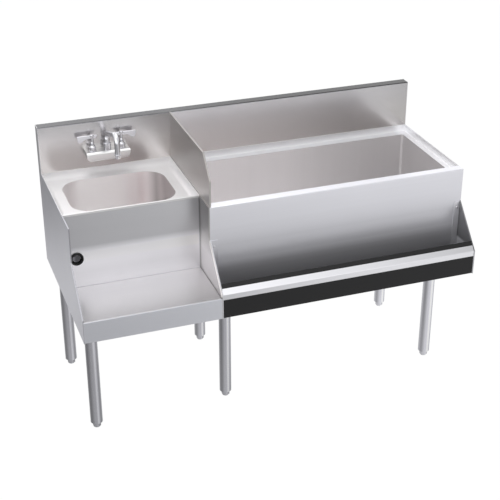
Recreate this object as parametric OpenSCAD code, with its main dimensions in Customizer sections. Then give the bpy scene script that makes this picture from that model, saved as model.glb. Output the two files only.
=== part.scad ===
// Underbar station in bent stainless sheet: a sink with a lower shelf on the left, an insulated ice
// bin with a bottle rail on the right, one backsplash behind both, six tubular legs and a two-handle
// faucet on the backsplash. Millimetres, +Z up. The origin is on the floor, in the middle of the
// footprint; the back plane is +Y and the open front is -Y.

/* [Overall] */
// Width over both end panels
unit_w = 1371.6; // [1250:0.1:1700]
// Depth from the wall to the front of the shelf and rail
unit_d = 609.6; // [560:0.1:700]
// Height of the top of the backsplash
unit_h = 939.8; // [925:0.1:1000]
// Height of the working rims
rim_z = 774.7; // [760:0.1:800]
// Clear height under the cabinets
base_z = 431.8; // [400:0.1:445]
// Width of the sink module
sink_w = 457.2; // [440:0.1:520]
// Gauge of the steel sheet
sheet = 1.5; // [1.0:0.1:2.0]
// Outside radius of the sheet bends
bend_r = 3; // [2.2:0.1:4]

/* [Backsplash] */
// Depth of the top return, from the wall to the face
splash_d = 38.1; // [34:0.1:50]
// Height of the hem that turns down at the wall
splash_hem = 40; // [20:1:60]
// Length of the face that laps behind the rims
splash_lap = 40; // [35:1:60]

/* [Recessed deck] */
// Depth of the recess below the rims
recess = 25.4; // [18:0.1:32]
// Radius at the foot of the sink deck's walls
deck_cove_r = 19; // [6:0.5:20]
// Distance from the wall to the riser below the sink deck
riser_d = 381; // [360:0.1:400]
// Width of the turned front rim of the sink deck
deck_rim_w = 5.5; // [5:0.1:8]
// Drop of the front rim's lip
deck_lip_h = 7.6; // [4:0.1:12]

/* [Sink bowl] */
// Width of the bowl
bowl_w = 355.6; // [300:0.1:365]
// Length of the bowl from back to front
bowl_l = 254; // [220:0.1:262]
// Depth of the bowl below the deck
bowl_depth = 254; // [150:0.1:256]
// Distance from the wall to the bowl
bowl_back_d = 76.2; // [72:0.1:80]
// Plan radius of the bowl's corners
bowl_corner_r = 70; // [40:1:100]
// Radius at the foot of the bowl's walls
bowl_cove_r = 32; // [12:1:38]
// Width of the flange under the deck
bowl_flange = 10; // [5:0.5:12]

/* [Sink drain] */
// Radius of the hole in the bowl
drain_hole_r = 31.5; // [28:0.1:36]
// Radius of the drain's flange
drain_flange_r = 42; // [40:0.1:48]
// Outside radius of the tailpiece, a 1-1/2 in tube
tail_r = 19.05; // [16:0.05:20]
// Wall of the tailpiece
tail_wall = 1.2; // [0.8:0.1:2]
// Length of the tailpiece
tail_len = 74; // [50:1:100]

/* [Lower shelf] */
// Height of the shelf
shelf_z = 508; // [485:0.1:530]
// Radius of the cord grommet's bore
grommet_bore_r = 13.97; // [8:0.01:15]
// Outside radius of the grommet
grommet_r = 22.2; // [20:0.1:24]
// How far the grommet stands out of the riser
grommet_proud = 6.4; // [4:0.1:9]
// Grommet's centre from the left end
grommet_x = 38.6; // [34:0.1:60]
// Grommet's height
grommet_z = 612.1; // [560:0.1:660]
// Thickness over the hem round an end panel's free edge
hem_w = 4; // [3.2:0.1:6]
// Width of that hem
hem_reach = 12; // [8:0.5:16]
// Height where an end panel's front edge starts to slope
slope_top_z = 655.3; // [620:0.1:680]
// Height where that slope meets the front edge
slope_foot_z = 515.6; // [512:0.1:540]

/* [Divider splash] */
// Thickness of the wall between sink and bin
divider_t = 5.6; // [4:0.1:8]
// Distance from the wall to where its top edge slopes
divider_top_d = 418.3; // [400:0.1:440]
// Height where that slope meets its front edge
divider_slope_z = 866; // [820:0.1:890]

/* [Ice bin] */
// Distance from the wall to the bin's front face
bin_front_d = 484.4; // [470:0.1:500]
// Width of the flat lip along the bin's front
lip_w = 31; // [24:0.5:40]
// Width of the ledges at the sides and the front of the bin
ledge_w = 21.1; // [15:0.1:34]
// Width of the ledge at the back of the bin
rear_ledge_w = 30.2; // [16:0.1:40]
// Depth of the bin's inside below the rim
bin_depth = 304.8; // [250:0.1:306]
// Plan radius of the liner's corners
liner_corner_r = 10; // [6:0.5:16]
// Radius at the foot of the liner's walls
liner_cove_r = 6; // [4:0.5:12]
// Fall of the liner's floor towards its drain
liner_fall = 8; // [4:0.5:12]
// Gap between the insulation and the sheets around it
foam_gap = 0.5; // [0.3:0.1:0.8]
// Outside radius of the bin's drain pipe, a 1 in pipe
bin_drain_r = 16.7; // [12:0.1:20]
// How far the drain pipe hangs below the bin
bin_drain_drop = 32; // [22:1:60]

/* [Bottle rail] */
// Underside of the rail
rail_foot_z = 432; // [431.9:0.1:440]
// Top of the rail's dark face and foot of its steel lip
rail_face_z = 501; // [485:0.1:508]
// Height of the lip's upright band
lip_band_h = 18.4; // [12:0.1:24]
// Rise of the lip's slanted facet
lip_facet_h = 16.5; // [10:0.1:20]
// Run of the lip's slanted facet
lip_facet_d = 12.7; // [8:0.1:18]
// Gauge of the lip
lip_t = 1.5; // [1:0.1:2.5]
// How far the rail's dark front runs on above its lip
rail_brow = 16.4; // [10:0.1:24]
// Gap between the two modules' facing end panels along the rail
rail_gap = 0.7; // [0.5:0.1:6]
// Width of the flanges that fix the rail's ends to the bin
rail_flange_w = 25.4; // [18:0.1:32]
// Radius of the rail screws' heads
rail_screw_r = 4; // [3:0.1:5]

/* [Legs] */
// Outside radius of the leg tube, 1-5/8 in across
leg_r = 20.65; // [18:0.05:24]
// Wall of the leg tube
leg_wall = 1.5; // [1:0.1:2]
// Height of the tube's lower end at rest
foot_h = 21; // [16:0.5:28]
// Width across the flats of the foot's hexagon
foot_flats = 25.4; // [20:0.1:30]
// Radius of the foot's stem
foot_stem_r = 8; // [6:0.1:9]
// How far each foot screws out
foot_travel = 25; // [10:1:30]
// Left legs from the left end
left_leg_x = 50.8; // [40:0.1:60]
// Front left leg behind the bin's front face
left_leg_inset = 32.4; // [25:0.1:60]
// Front middle leg from the bin's left end
mid_front_leg_inset = 67.3; // [48:0.1:140]
// Rear middle leg from the bin's left end
mid_rear_leg_inset = 94.5; // [48:0.1:140]
// Right legs from the right end
right_leg_inset = 62.7; // [40:0.1:120]
// Front legs under the bin behind its front face
bin_leg_inset = 63.8; // [44:0.1:100]
// Rear legs from the wall
rear_leg_d = 32; // [31:0.1:60]
// Height of the gusset sockets
gusset_h = 60; // [40:1:80]

/* [Faucet] */
// Faucet's centre from the left end
faucet_x = 228.6; // [215:0.1:240]
// Width of the faucet's body
faucet_w = 152.4; // [144:0.1:170]
// Depth of the faucet's body
faucet_d = 43.7; // [42:0.1:52]
// Top of the faucet's body
faucet_top_z = 843.3; // [836:0.1:850]
// Height of the faucet's body
faucet_h = 33; // [29:0.1:40]
// Spacing of the two valves
valve_pitch = 101.6; // [98:0.1:112]
// Distance from the wall to the valves' axes
valve_d = 62.2; // [61:0.1:64]
// Radius of the valve bonnets and of the spout's nut
bonnet_r = 12.7; // [11:0.1:13.5]
// Height of the bonnets
bonnet_h = 25.4; // [18:0.1:26]
// Radius of the handle hubs
hub_r = 6.1; // [5.6:0.1:7]
// Length of a lever from its axis
lever_len = 50.5; // [40:0.5:56]
// Length of a lever's tail
lever_tail = 18.5; // [14:0.5:20]
// Thickness of a lever
lever_t = 5; // [3:0.1:7]
// Radius of the inlet shanks, 1/2 in pipe thread
shank_r = 10.5; // [9:0.1:11]
// Radius of the spout's tube
spout_r = 9; // [8:0.1:9.4]
// Wall of the spout's tube
spout_wall = 1.5; // [1:0.1:2]
// Reach of the spout from its axis
spout_reach = 153.7; // [140:0.1:180]
// Slope of the spout's arm
spout_slope = 18; // [15:0.5:20]
// Centreline radius of the spout's lower bend
spout_low_r = 19; // [16:0.5:24]
// Centreline radius of the spout's upper bend
spout_high_r = 24; // [18:0.5:28]
// Length of the straight stretch above the aerator
spout_drop = 33; // [22:1:40]
// Running clearance of stems and spigots, radial
run_fit = 0.05; // [0.02:0.01:0.1]

/* [Hidden] */

$fn = 64;
over = 1;                         // how far a cutter runs past a face
bend_steps = 8;                   // chords in a bend of the sheet

deck_z = rim_z - recess;          // top of the sink deck and of the bin's ledges
deck_under_z = deck_z - sheet;
rim_back_d = splash_d + sheet;    // front of the recesses' rear walls
splash_foot_z = rim_z - splash_lap;
inner_x0 = sheet;                 // inside of the left end panel
sink_x1 = sink_w - sheet;         // inside of the sink's right panel
bin_x0 = sink_w + sheet;          // inside of the bin's left panel
bin_x1 = unit_w - sheet;          // inside of the bin's right panel
bin_d1 = bin_front_d - sheet;     // inside of the bin's front panel
base_top_z = base_z + sheet;

// Bends of the sheet. A path of points (a, b) is the visible face; each corner gets an arc.
function unit(v) = v / norm(v);
function left_of(v) = [-v[1], v[0]];
function turned(v, a) = [v[0] * cos(a) - v[1] * sin(a), v[0] * sin(a) + v[1] * cos(a)];
function turn_angle(u, v) = atan2(u[0] * v[1] - u[1] * v[0], u * v);

// The arc at corner q of p-q-s, as pairs of a point and the path's left normal there
function corner_arc(p, q, s, r) =
  let (u = unit(q - p), v = unit(s - q), turn = turn_angle(u, v), side = sign(turn),
       centre = q - u * (r * tan(abs(turn) / 2)) + side * r * left_of(u))
  [for (i = [0:bend_steps])
    let (n = turned(left_of(u), turn * i / bend_steps)) [centre - side * r * n, n]];

function bent_path(pts, r) =
  let (last = len(pts) - 1)
  [[pts[0], left_of(unit(pts[1] - pts[0]))],
   for (k = [1:last - 1]) each corner_arc(pts[k - 1], pts[k], pts[k + 1], r),
   [pts[last], left_of(unit(pts[last] - pts[last - 1]))]];

// Outline of a sheet of gauge t (positive on the path's left) bent along the path
function bent_sheet(pts, t, r) =
  let (path = bent_path(pts, r), last = len(path) - 1)
  [for (f = path) f[0], for (i = [last:-1:0]) path[i][0] + t * path[i][1]];

// A closed outline drawn clockwise, moved inwards by dist
function inset_corner(p, q, s, dist) =
  let (u = unit(q - p), v = unit(s - q), nu = -left_of(u), nv = -left_of(v))
  q + (nu + nv) * dist / (1 + nu * nv);
function inset_outline(pts, dist) =
  let (n = len(pts))
  [for (i = [0:n - 1]) inset_corner(pts[(i + n - 1) % n], pts[i], pts[(i + 1) % n], dist)];

// Everything below is placed by x from the left end, d from the wall and z from the floor
module unit_frame() {
  translate([-unit_w / 2, unit_d / 2, 0]) children();
}

module at(x, d, z) {
  translate([x, -d, z]) children();
}

module slab(x0, x1, d0, d1, z0, z1) {
  translate([x0, -d1, z0]) cube([x1 - x0, d1 - d0, z1 - z0]);
}

// A profile in (d, z), extruded along x
module along_x(x0, x1) {
  translate([x0, 0, 0]) rotate([90, 0, 90]) linear_extrude(x1 - x0) mirror([1, 0]) children();
}

// A profile in (x, z), extruded along d
module along_d(d0, d1) {
  translate([0, -d0, 0]) rotate([90, 0, 0]) linear_extrude(d1 - d0) children();
}

// A plan in (x, d), extruded along z
module along_z(z0, z1) {
  translate([0, 0, z0]) linear_extrude(z1 - z0) mirror([0, 1]) children();
}

// A round rod on an axis along d
module rod_d(x, z, r, d0, d1) {
  translate([x, -d0, z]) rotate([90, 0, 0]) cylinder(r = r, h = d1 - d0);
}

module ring(r_out, r_in, h) {
  difference() {
    cylinder(r = r_out, h = h);
    translate([0, 0, -over]) cylinder(r = r_in, h = h + 2 * over);
  }
}

module hexagon(flats, h) {
  cylinder(d = flats / cos(30), h = h, $fn = 6);
}

module round_rect(x0, x1, y0, y1, r) {
  translate([x0 + r, y0]) square([x1 - x0 - 2 * r, y1 - y0]);
  translate([x0, y0 + r]) square([x1 - x0, y1 - y0 - 2 * r]);
  for (x = [x0 + r, x1 - r], y = [y0 + r, y1 - r]) translate([x, y]) circle(r = r);
}

// Upright sides on a foot with rounded corners
module round_foot(a0, a1, z0, z1, r) {
  translate([a0, z0 + r]) square([a1 - a0, z1 - z0 - r]);
  translate([a0 + r, z0]) square([a1 - a0 - 2 * r, z1 - z0]);
  intersection() {
    union() for (a = [a0 + r, a1 - r]) translate([a, z0 + r]) circle(r = r);
    translate([a0, z0]) square([a1 - a0, r]);
  }
}

// A block whose lower edges are coved and mitred at the corners
module coved_block(x0, x1, d0, d1, z0, z1, r) {
  intersection() {
    along_d(d0 - over, d1 + over) round_foot(x0, x1, z0, z1, r);
    along_x(x0 - over, x1 + over) round_foot(d0, d1, z0, z1, r);
  }
}

// A deep-drawn block: round in plan at its corners, with a cove that runs round them
module drawn_block(x0, x1, d0, d1, z0, z1, corner_r, cove_r) {
  along_d(d0 + corner_r, d1 - corner_r) round_foot(x0, x1, z0, z1, cove_r);
  along_x(x0 + corner_r, x1 - corner_r) round_foot(d0, d1, z0, z1, cove_r);
  for (sx = [0, 1], sd = [0, 1])
    at(sx == 0 ? x0 + corner_r : x1 - corner_r, sd == 0 ? d0 + corner_r : d1 - corner_r, 0)
      mirror([sx == 0 ? 1 : 0, 0, 0]) mirror([0, sd == 0 ? 0 : 1, 0])
        rotate_extrude(angle = 90) {
          translate([0, z0]) square([corner_r - cove_r, z1 - z0]);
          translate([0, z0 + cove_r]) square([corner_r, z1 - z0 - cove_r]);
          intersection() {
            translate([corner_r - cove_r, z0 + cove_r]) circle(r = cove_r);
            translate([0, z0]) square([corner_r, cove_r]);
          }
        }
}

// ---- backsplash -------------------------------------------------------------------------------

inlet_z = faucet_top_z - faucet_h / 2;
inlet_clear = 0.5;
shank_step = 0.3;                 // the shanks are this much thicker at their nuts
inlet_x = [faucet_x - valve_pitch / 2, faucet_x + valve_pitch / 2];

module backsplash() {
  color("#aba9a8") unit_frame() difference() {
    along_x(inner_x0, bin_x1) polygon(bent_sheet([
      [0, unit_h - splash_hem], [0, unit_h], [splash_d, unit_h],
      [splash_d, splash_foot_z], [sheet, splash_foot_z]
    ], -sheet, bend_r));
    for (x = inlet_x)
      rod_d(x, inlet_z, shank_r + shank_step + inlet_clear, splash_d - sheet - over, splash_d + over);
  }
}

cap_flange = 12;

module splash_cap_at(x0, flange_x0) {
  slab(x0, x0 + sheet, 0, splash_d, rim_z, unit_h);
  slab(flange_x0, flange_x0 + cap_flange, 0, sheet, rim_z, unit_h - splash_hem);
}

module left_splash_cap() {
  color("#9c9ea2") unit_frame() splash_cap_at(0, sheet);
}

module right_splash_cap() {
  color("#9c9ea2") unit_frame() splash_cap_at(bin_x1, bin_x1 - cap_flange);
}

// ---- divider splash ---------------------------------------------------------------------------

divider_outline = [
  [splash_d, rim_z], [splash_d, unit_h], [divider_top_d, unit_h],
  [bin_front_d, divider_slope_z], [bin_front_d, rim_z]
];

module divider_splash() {
  color("#8f8a88") unit_frame() difference() {
    along_x(sink_w, sink_w + divider_t) polygon(divider_outline);
    along_x(sink_w + sheet, sink_w + divider_t - sheet) polygon(
      concat([[splash_d + sheet, rim_z - over]],
             [for (i = [1:3]) inset_outline(divider_outline, sheet)[i]],
             [[bin_front_d - sheet, rim_z - over]]));
  }
}

// ---- sink deck and bowl -----------------------------------------------------------------------

bowl_x0 = (sink_w - bowl_w) / 2;
bowl_x1 = bowl_x0 + bowl_w;
bowl_d1 = bowl_back_d + bowl_l;
bowl_floor_z = deck_z - bowl_depth;
bowl_x = (bowl_x0 + bowl_x1) / 2;
bowl_d = (bowl_back_d + bowl_d1) / 2;
rim_in_d = riser_d - 2 * sheet;   // front of the deck's recess
rim_hook_h = 12;                  // straight stretch below the rim's bend

module sink_deck() {
  color("#e9e8eb") unit_frame() difference() {
    union() {
      difference() {
        coved_block(inner_x0, sink_x1, splash_d, rim_in_d + sheet, deck_under_z, rim_z,
                    deck_cove_r + sheet);
        coved_block(inner_x0 + sheet, sink_x1 - sheet, rim_back_d, rim_in_d, deck_z, rim_z + over,
                    deck_cove_r);
        slab(inner_x0 - over, sink_x1 + over, rim_in_d - sheet / 2, rim_in_d + 2 * sheet,
             rim_z - rim_hook_h, rim_z + over);
      }
      along_x(inner_x0, sink_x1) polygon(bent_sheet([
        [rim_in_d, rim_z - rim_hook_h], [rim_in_d, rim_z],
        [rim_in_d + deck_rim_w, rim_z], [rim_in_d + deck_rim_w, rim_z - deck_lip_h]
      ], -sheet, sheet + 0.5));
    }
    along_z(deck_under_z - over, deck_z + over)
      round_rect(bowl_x0, bowl_x1, bowl_back_d, bowl_d1, bowl_corner_r);
  }
}

module sink_bowl() {
  color("#b9b5b3") unit_frame() difference() {
    union() {
      drawn_block(bowl_x0 - sheet, bowl_x1 + sheet, bowl_back_d - sheet, bowl_d1 + sheet,
                  bowl_floor_z - sheet, deck_under_z, bowl_corner_r + sheet, bowl_cove_r + sheet);
      along_z(deck_under_z - sheet, deck_under_z)
        round_rect(bowl_x0 - bowl_flange, bowl_x1 + bowl_flange, bowl_back_d - bowl_flange,
                   bowl_d1 + bowl_flange, bowl_corner_r + bowl_flange);
    }
    drawn_block(bowl_x0, bowl_x1, bowl_back_d, bowl_d1, bowl_floor_z, deck_under_z + over,
                bowl_corner_r, bowl_cove_r);
    at(bowl_x, bowl_d, bowl_floor_z - sheet - over) cylinder(r = drain_hole_r, h = sheet + 2 * over);
  }
}

// ---- sink drain -------------------------------------------------------------------------------

drain_fit = 0.5;                  // radial gap of the drain in the bowl
drain_flange_t = 2;
drain_r = drain_hole_r - drain_fit;
drain_cup_h = 40;                 // threaded cup below the bowl
drain_spigot_h = 20;
drain_spigot_r = tail_r + 3.4;
drain_cup_foot_z = bowl_floor_z - drain_cup_h;
drain_foot_z = drain_cup_foot_z - drain_spigot_h;
dish_r = drain_r - 4;
dish_foot_r = tail_r + 1.2;
dish_h = 12;
dish_slope = (dish_r - dish_foot_r) / dish_h;
ledge_z = bowl_floor_z + drain_flange_t - dish_h;
strainer_t = 1.5;
strainer_gap = 0.3;
drain_bore_r = tail_r - 1.5;
tail_fit = 0.1;
tail_step = 0.5;                  // its end in the drain is this much thinner
tail_seat_gap = 1;                // between that step and the drain
tail_top_z = drain_foot_z + drain_spigot_h - 5;
gasket_t = 3;
locknut_t = 10;
locknut_flats = 84;

module drain_body() {
  color("silver") unit_frame() at(bowl_x, bowl_d, 0) difference() {
    union() {
      translate([0, 0, bowl_floor_z]) cylinder(r1 = drain_flange_r, r2 = drain_flange_r - 1.2,
                                               h = drain_flange_t);
      translate([0, 0, drain_cup_foot_z]) cylinder(r = drain_r, h = drain_cup_h);
      translate([0, 0, drain_foot_z]) cylinder(r = drain_spigot_r, h = drain_spigot_h);
    }
    translate([0, 0, ledge_z])
      cylinder(r1 = dish_foot_r, r2 = dish_r + over * dish_slope, h = dish_h + over);
    translate([0, 0, drain_foot_z - over]) cylinder(r = drain_bore_r, h = bowl_floor_z);
    translate([0, 0, drain_foot_z - over])
      cylinder(r = tail_r - tail_step + tail_fit, h = tail_top_z - drain_foot_z + over);
  }
}

module drain_strainer() {
  holes = 6;
  color("silver") unit_frame() at(bowl_x, bowl_d, ledge_z) difference() {
    cylinder(r = dish_foot_r - strainer_gap, h = strainer_t);
    translate([0, 0, -over]) cylinder(r = 2.5, h = strainer_t + 2 * over);
    for (i = [0:holes - 1]) rotate([0, 0, i * 360 / holes]) translate([0.55 * dish_foot_r, 0, -over])
      cylinder(r = 3.2, h = strainer_t + 2 * over);
  }
}

module drain_gasket() {
  color("#303030") unit_frame() at(bowl_x, bowl_d, bowl_floor_z - sheet - gasket_t)
    ring(drain_flange_r, drain_r + drain_fit / 2, gasket_t);
}

module drain_locknut() {
  color("#c8a860") unit_frame() at(bowl_x, bowl_d, bowl_floor_z - sheet - gasket_t - locknut_t)
    difference() {
      hexagon(locknut_flats, locknut_t);
      translate([0, 0, -over]) cylinder(r = drain_r + drain_fit / 2, h = locknut_t + 2 * over);
    }
}

module tailpiece() {
  tail_foot_z = tail_top_z - tail_len;
  color("silver") unit_frame() at(bowl_x, bowl_d, tail_foot_z) {
    ring(tail_r, tail_r - tail_wall, drain_foot_z - tail_seat_gap - tail_foot_z);
    ring(tail_r - tail_step, tail_r - tail_wall, tail_len);
  }
}

// ---- riser, grommet and lower shelf -----------------------------------------------------------

riser_tuck = 1.5 + sheet;         // the riser's top edge lies this far below the rim's top
shelf_flange = 20;                // turned down along the riser
grommet_neck = 4;                 // wall of rubber inside the riser's hole
grommet_hole_r = grommet_bore_r + grommet_neck;
grommet_back = 4.5;
rubber_gap = 0.2;

module riser_panel() {
  color("#c5c5c9") unit_frame() difference() {
    slab(inner_x0, sink_x1, riser_d - sheet, riser_d, shelf_z - shelf_flange, rim_z - riser_tuck);
    rod_d(grommet_x, grommet_z, grommet_hole_r, riser_d - sheet - over, riser_d + over);
  }
}

module cord_grommet() {
  flange_edge = grommet_proud / 2;
  color("#262626") unit_frame() at(grommet_x, riser_d, grommet_z) rotate([90, 0, 0])
    rotate_extrude() {
      translate([grommet_bore_r, 0]) square([grommet_r - grommet_bore_r - flange_edge, grommet_proud]);
      translate([grommet_r - flange_edge, flange_edge]) circle(r = flange_edge);
      translate([grommet_bore_r, -sheet])
        square([grommet_hole_r - rubber_gap - grommet_bore_r, sheet]);
      translate([grommet_bore_r, -sheet - grommet_back])
        square([grommet_r - grommet_bore_r - 1.5, grommet_back]);
    }
}

shelf_return = 18;

module lower_shelf() {
  color("#c9c7ca") unit_frame() along_x(inner_x0, sink_x1) polygon(bent_sheet([
    [riser_d, shelf_z - shelf_flange], [riser_d, shelf_z], [unit_d, shelf_z], [unit_d, base_z],
    [unit_d - shelf_return, base_z]
  ], -sheet, bend_r));
}

// ---- end panels of the sink module ------------------------------------------------------------

panel_front_d = bin_front_d;      // front of the upper part, level with the bin
hem_start_d = rim_in_d + deck_rim_w + 0.5;
free_outline = [
  [0, base_z], [0, rim_z], [panel_front_d, rim_z], [panel_front_d, slope_top_z],
  [unit_d, slope_foot_z], [unit_d, base_z]
];
notched_outline = [
  [0, base_z], [0, splash_foot_z], [splash_d, splash_foot_z], [splash_d, rim_z],
  [panel_front_d, rim_z], [panel_front_d, slope_top_z], [unit_d, slope_foot_z], [unit_d, base_z]
];
rear_flange = 25;
hem_foot_z = shelf_z + 3;

// The hem folds inwards round the free edge above the shelf, from plane x0 to x1
module panel_hem(x0, x1, return_x0) {
  intersection() {
    union() {
      along_x(x0, x1) difference() {
        polygon(free_outline);
        polygon(inset_outline(free_outline, sheet));
      }
      along_x(return_x0, return_x0 + sheet) difference() {
        polygon(free_outline);
        polygon(inset_outline(free_outline, hem_reach));
      }
    }
    slab(-over, unit_w, hem_start_d, unit_d + over, hem_foot_z, rim_z + over);
  }
}

module left_end_panel() {
  color("#a5a7ab") unit_frame() {
    along_x(0, sheet) polygon(free_outline);
    panel_hem(sheet / 2, hem_w, hem_w - sheet);
    slab(sheet / 2, sheet + rear_flange, 0, sheet, base_top_z, splash_foot_z);
  }
}

module sink_right_panel() {
  color("#b4aeac") unit_frame() {
    along_x(sink_x1, sink_w) polygon(notched_outline);
    panel_hem(sink_w - hem_w, sink_w - sheet / 2, sink_w - hem_w);
  }
}

channel_w = 88;
channel_h = 25;

module left_leg_channel() {
  color("#909296") unit_frame() difference() {
    along_d(sheet, unit_d - shelf_return - sheet) polygon(bent_sheet([
      [inner_x0, base_z + channel_h], [inner_x0, base_z],
      [inner_x0 + channel_w, base_z], [inner_x0 + channel_w, base_z + channel_h]
    ], sheet, bend_r));
    slab(0, inner_x0 + rear_flange + 2, 0, 2 * sheet, base_top_z - 0.5, base_z + channel_h + over);
  }
}

// ---- ice bin ----------------------------------------------------------------------------------

recess_x0 = sink_w + divider_t;   // inside of the bin's recess on the left
recess_x1 = bin_x1 - sheet;
recess_d1 = bin_front_d - lip_w;
liner_x0 = recess_x0 + ledge_w;
liner_x1 = recess_x1 - ledge_w;
liner_d0 = rim_back_d + rear_ledge_w;
liner_d1 = recess_d1 - ledge_w;
liner_x = (liner_x0 + liner_x1) / 2;
liner_d = (liner_d0 + liner_d1) / 2;
liner_floor_z = rim_z - bin_depth;
liner_flange = 8;
rim_cove_r = 3;

module bin_rim() {
  color("#e4e3e6") unit_frame() {
    difference() {
      coved_block(recess_x0 - sheet, bin_x1, splash_d, recess_d1 + sheet, deck_under_z, rim_z,
                  rim_cove_r + sheet);
      coved_block(recess_x0, recess_x1, rim_back_d, recess_d1, deck_z, rim_z + over, rim_cove_r);
      slab(sink_w, unit_w, recess_d1 - over / 10, bin_front_d, rim_z - sheet, rim_z + over);
      along_z(deck_under_z - over, deck_z + over)
        round_rect(liner_x0, liner_x1, liner_d0, liner_d1, liner_corner_r);
    }
    slab(bin_x0, recess_x0 - sheet / 2, splash_d, recess_d1 - over / 10, rim_z - sheet, rim_z);
  }
}

// The liner's space grown by grow: round corners, coves below and a floor that falls to the drain
module liner_space(grow, z1) {
  x0 = liner_x0 - grow;
  x1 = liner_x1 + grow;
  d0 = liner_d0 - grow;
  d1 = liner_d1 + grow;
  z0 = liner_floor_z - grow;
  cove_r = liner_cove_r + grow;
  intersection() {
    along_z(z0 - liner_fall - over, z1) round_rect(x0, x1, d0, d1, liner_corner_r + grow);
    along_x(x0 - over, x1 + over) round_foot(d0, d1, z0 - liner_fall, z1 + over, cove_r);
    along_d(d0 - over, d1 + over) union() {
      round_foot(x0, x1, z0, z1 + over, cove_r);
      polygon([[x0 + cove_r, z0], [liner_x, z0 - liner_fall], [x1 - cove_r, z0],
               [x1 - cove_r, z0 + over], [x0 + cove_r, z0 + over]]);
    }
  }
}

bin_flange_r = 30;
bin_flange_t = 2;
bin_pipe_wall = 3.4;
pipe_gap = 0.4;
pipe_step = 0.5;                  // its length inside the bin is this much thicker
pipe_hole_r = bin_drain_r + pipe_step + pipe_gap;
pipe_step_z = base_z - 1;
pipe_top_z = liner_floor_z - liner_fall + bin_flange_t + 1;

module bin_liner() {
  color("#c2bebc") unit_frame() difference() {
    union() {
      liner_space(sheet, deck_under_z);
      along_z(deck_under_z - sheet, deck_under_z)
        round_rect(liner_x0 - liner_flange, liner_x1 + liner_flange, liner_d0 - liner_flange,
                   liner_d1 + liner_flange, liner_corner_r + liner_flange);
    }
    liner_space(0, deck_under_z + over);
    at(liner_x, liner_d, 0) translate([0, 0, liner_floor_z - liner_fall - 3 * sheet])
      cylinder(r = pipe_hole_r, h = 6 * sheet);
  }
}

module bin_insulation() {
  foam_x0 = bin_x0 + foam_gap;
  foam_x1 = bin_x1 - foam_gap;
  foam_z0 = base_top_z + foam_gap;
  foam_top_z = deck_under_z - sheet - foam_gap;
  color("#e8dcae") unit_frame() difference() {
    union() {
      slab(foam_x0, foam_x1, sheet + foam_gap, bin_d1 - foam_gap, foam_z0, splash_foot_z - foam_gap);
      slab(foam_x0, foam_x1, splash_d + foam_gap, bin_d1 - foam_gap, foam_z0, foam_top_z);
    }
    liner_space(sheet + foam_gap, deck_z);
    at(liner_x, liner_d, base_z) cylinder(r = pipe_hole_r, h = liner_floor_z - base_z);
  }
}

module bin_front_panel() {
  color("#a0a1a5") unit_frame() difference() {
    along_x(sink_w, unit_w) polygon(bent_sheet([
      [recess_d1, rim_z], [bin_front_d, rim_z], [bin_front_d, base_z]
    ], -sheet, bend_r));
    for (x = rail_screw_x) rod_d(x, rail_screw_z, screw_hole_r, bin_d1 - over, bin_front_d + over);
  }
}

// A side of the bin, cut away for the backsplash and for the front panel's lip
module bin_side(x0) {
  along_x(x0, x0 + sheet) polygon([
    [sheet, base_z], [sheet, splash_foot_z], [splash_d, splash_foot_z], [splash_d, rim_z],
    [recess_d1, rim_z], [recess_d1, rim_z - sheet], [bin_d1 - bend_r, rim_z - sheet],
    [bin_d1, rim_z - sheet - bend_r], [bin_d1, base_z]
  ]);
}

module bin_left_panel() {
  color("#9a9ca0") unit_frame() bin_side(sink_w);
}

module bin_right_panel() {
  color("#9a9ca0") unit_frame() bin_side(bin_x1);
}

module bin_back_panel() {
  color("#8f9195") unit_frame() slab(sink_w, unit_w, 0, sheet, base_z, splash_foot_z);
}

module bin_bottom_panel() {
  color("#8f9195") unit_frame() difference() {
    slab(bin_x0, bin_x1, sheet, bin_d1, base_z, base_top_z);
    at(liner_x, liner_d, base_z - over) cylinder(r = pipe_hole_r, h = sheet + 2 * over);
  }
}

module bin_drain_pipe() {
  color("silver") unit_frame() at(liner_x, liner_d, 0) difference() {
    union() {
      translate([0, 0, pipe_top_z - bin_flange_t])
        cylinder(r1 = bin_flange_r, r2 = bin_flange_r - 1.2, h = bin_flange_t);
      translate([0, 0, pipe_step_z])
        cylinder(r = bin_drain_r + pipe_step, h = pipe_top_z - bin_flange_t / 2 - pipe_step_z);
      translate([0, 0, base_z - bin_drain_drop]) cylinder(r = bin_drain_r, h = bin_drain_drop);
    }
    translate([0, 0, base_z - bin_drain_drop - over])
      cylinder(r = bin_drain_r - bin_pipe_wall, h = pipe_top_z - base_z + bin_drain_drop + 2 * over);
  }
}

module bin_drain_strainer() {
  rows = 3;
  per_row = 8;
  strainer_r = bin_flange_r - 4;
  color("silver") unit_frame() at(liner_x, liner_d, pipe_top_z) difference() {
    cylinder(r = strainer_r, h = strainer_t);
    translate([0, 0, -over]) cylinder(r = 1.5, h = strainer_t + 2 * over);
    for (row = [1:rows - 1], i = [0:per_row - 1])
      rotate([0, 0, (i + row / 2) * 360 / per_row]) translate([row * strainer_r / rows, 0, -over])
        cylinder(r = 1.8, h = strainer_t + 2 * over);
  }
}

// ---- bottle rail ------------------------------------------------------------------------------

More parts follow.
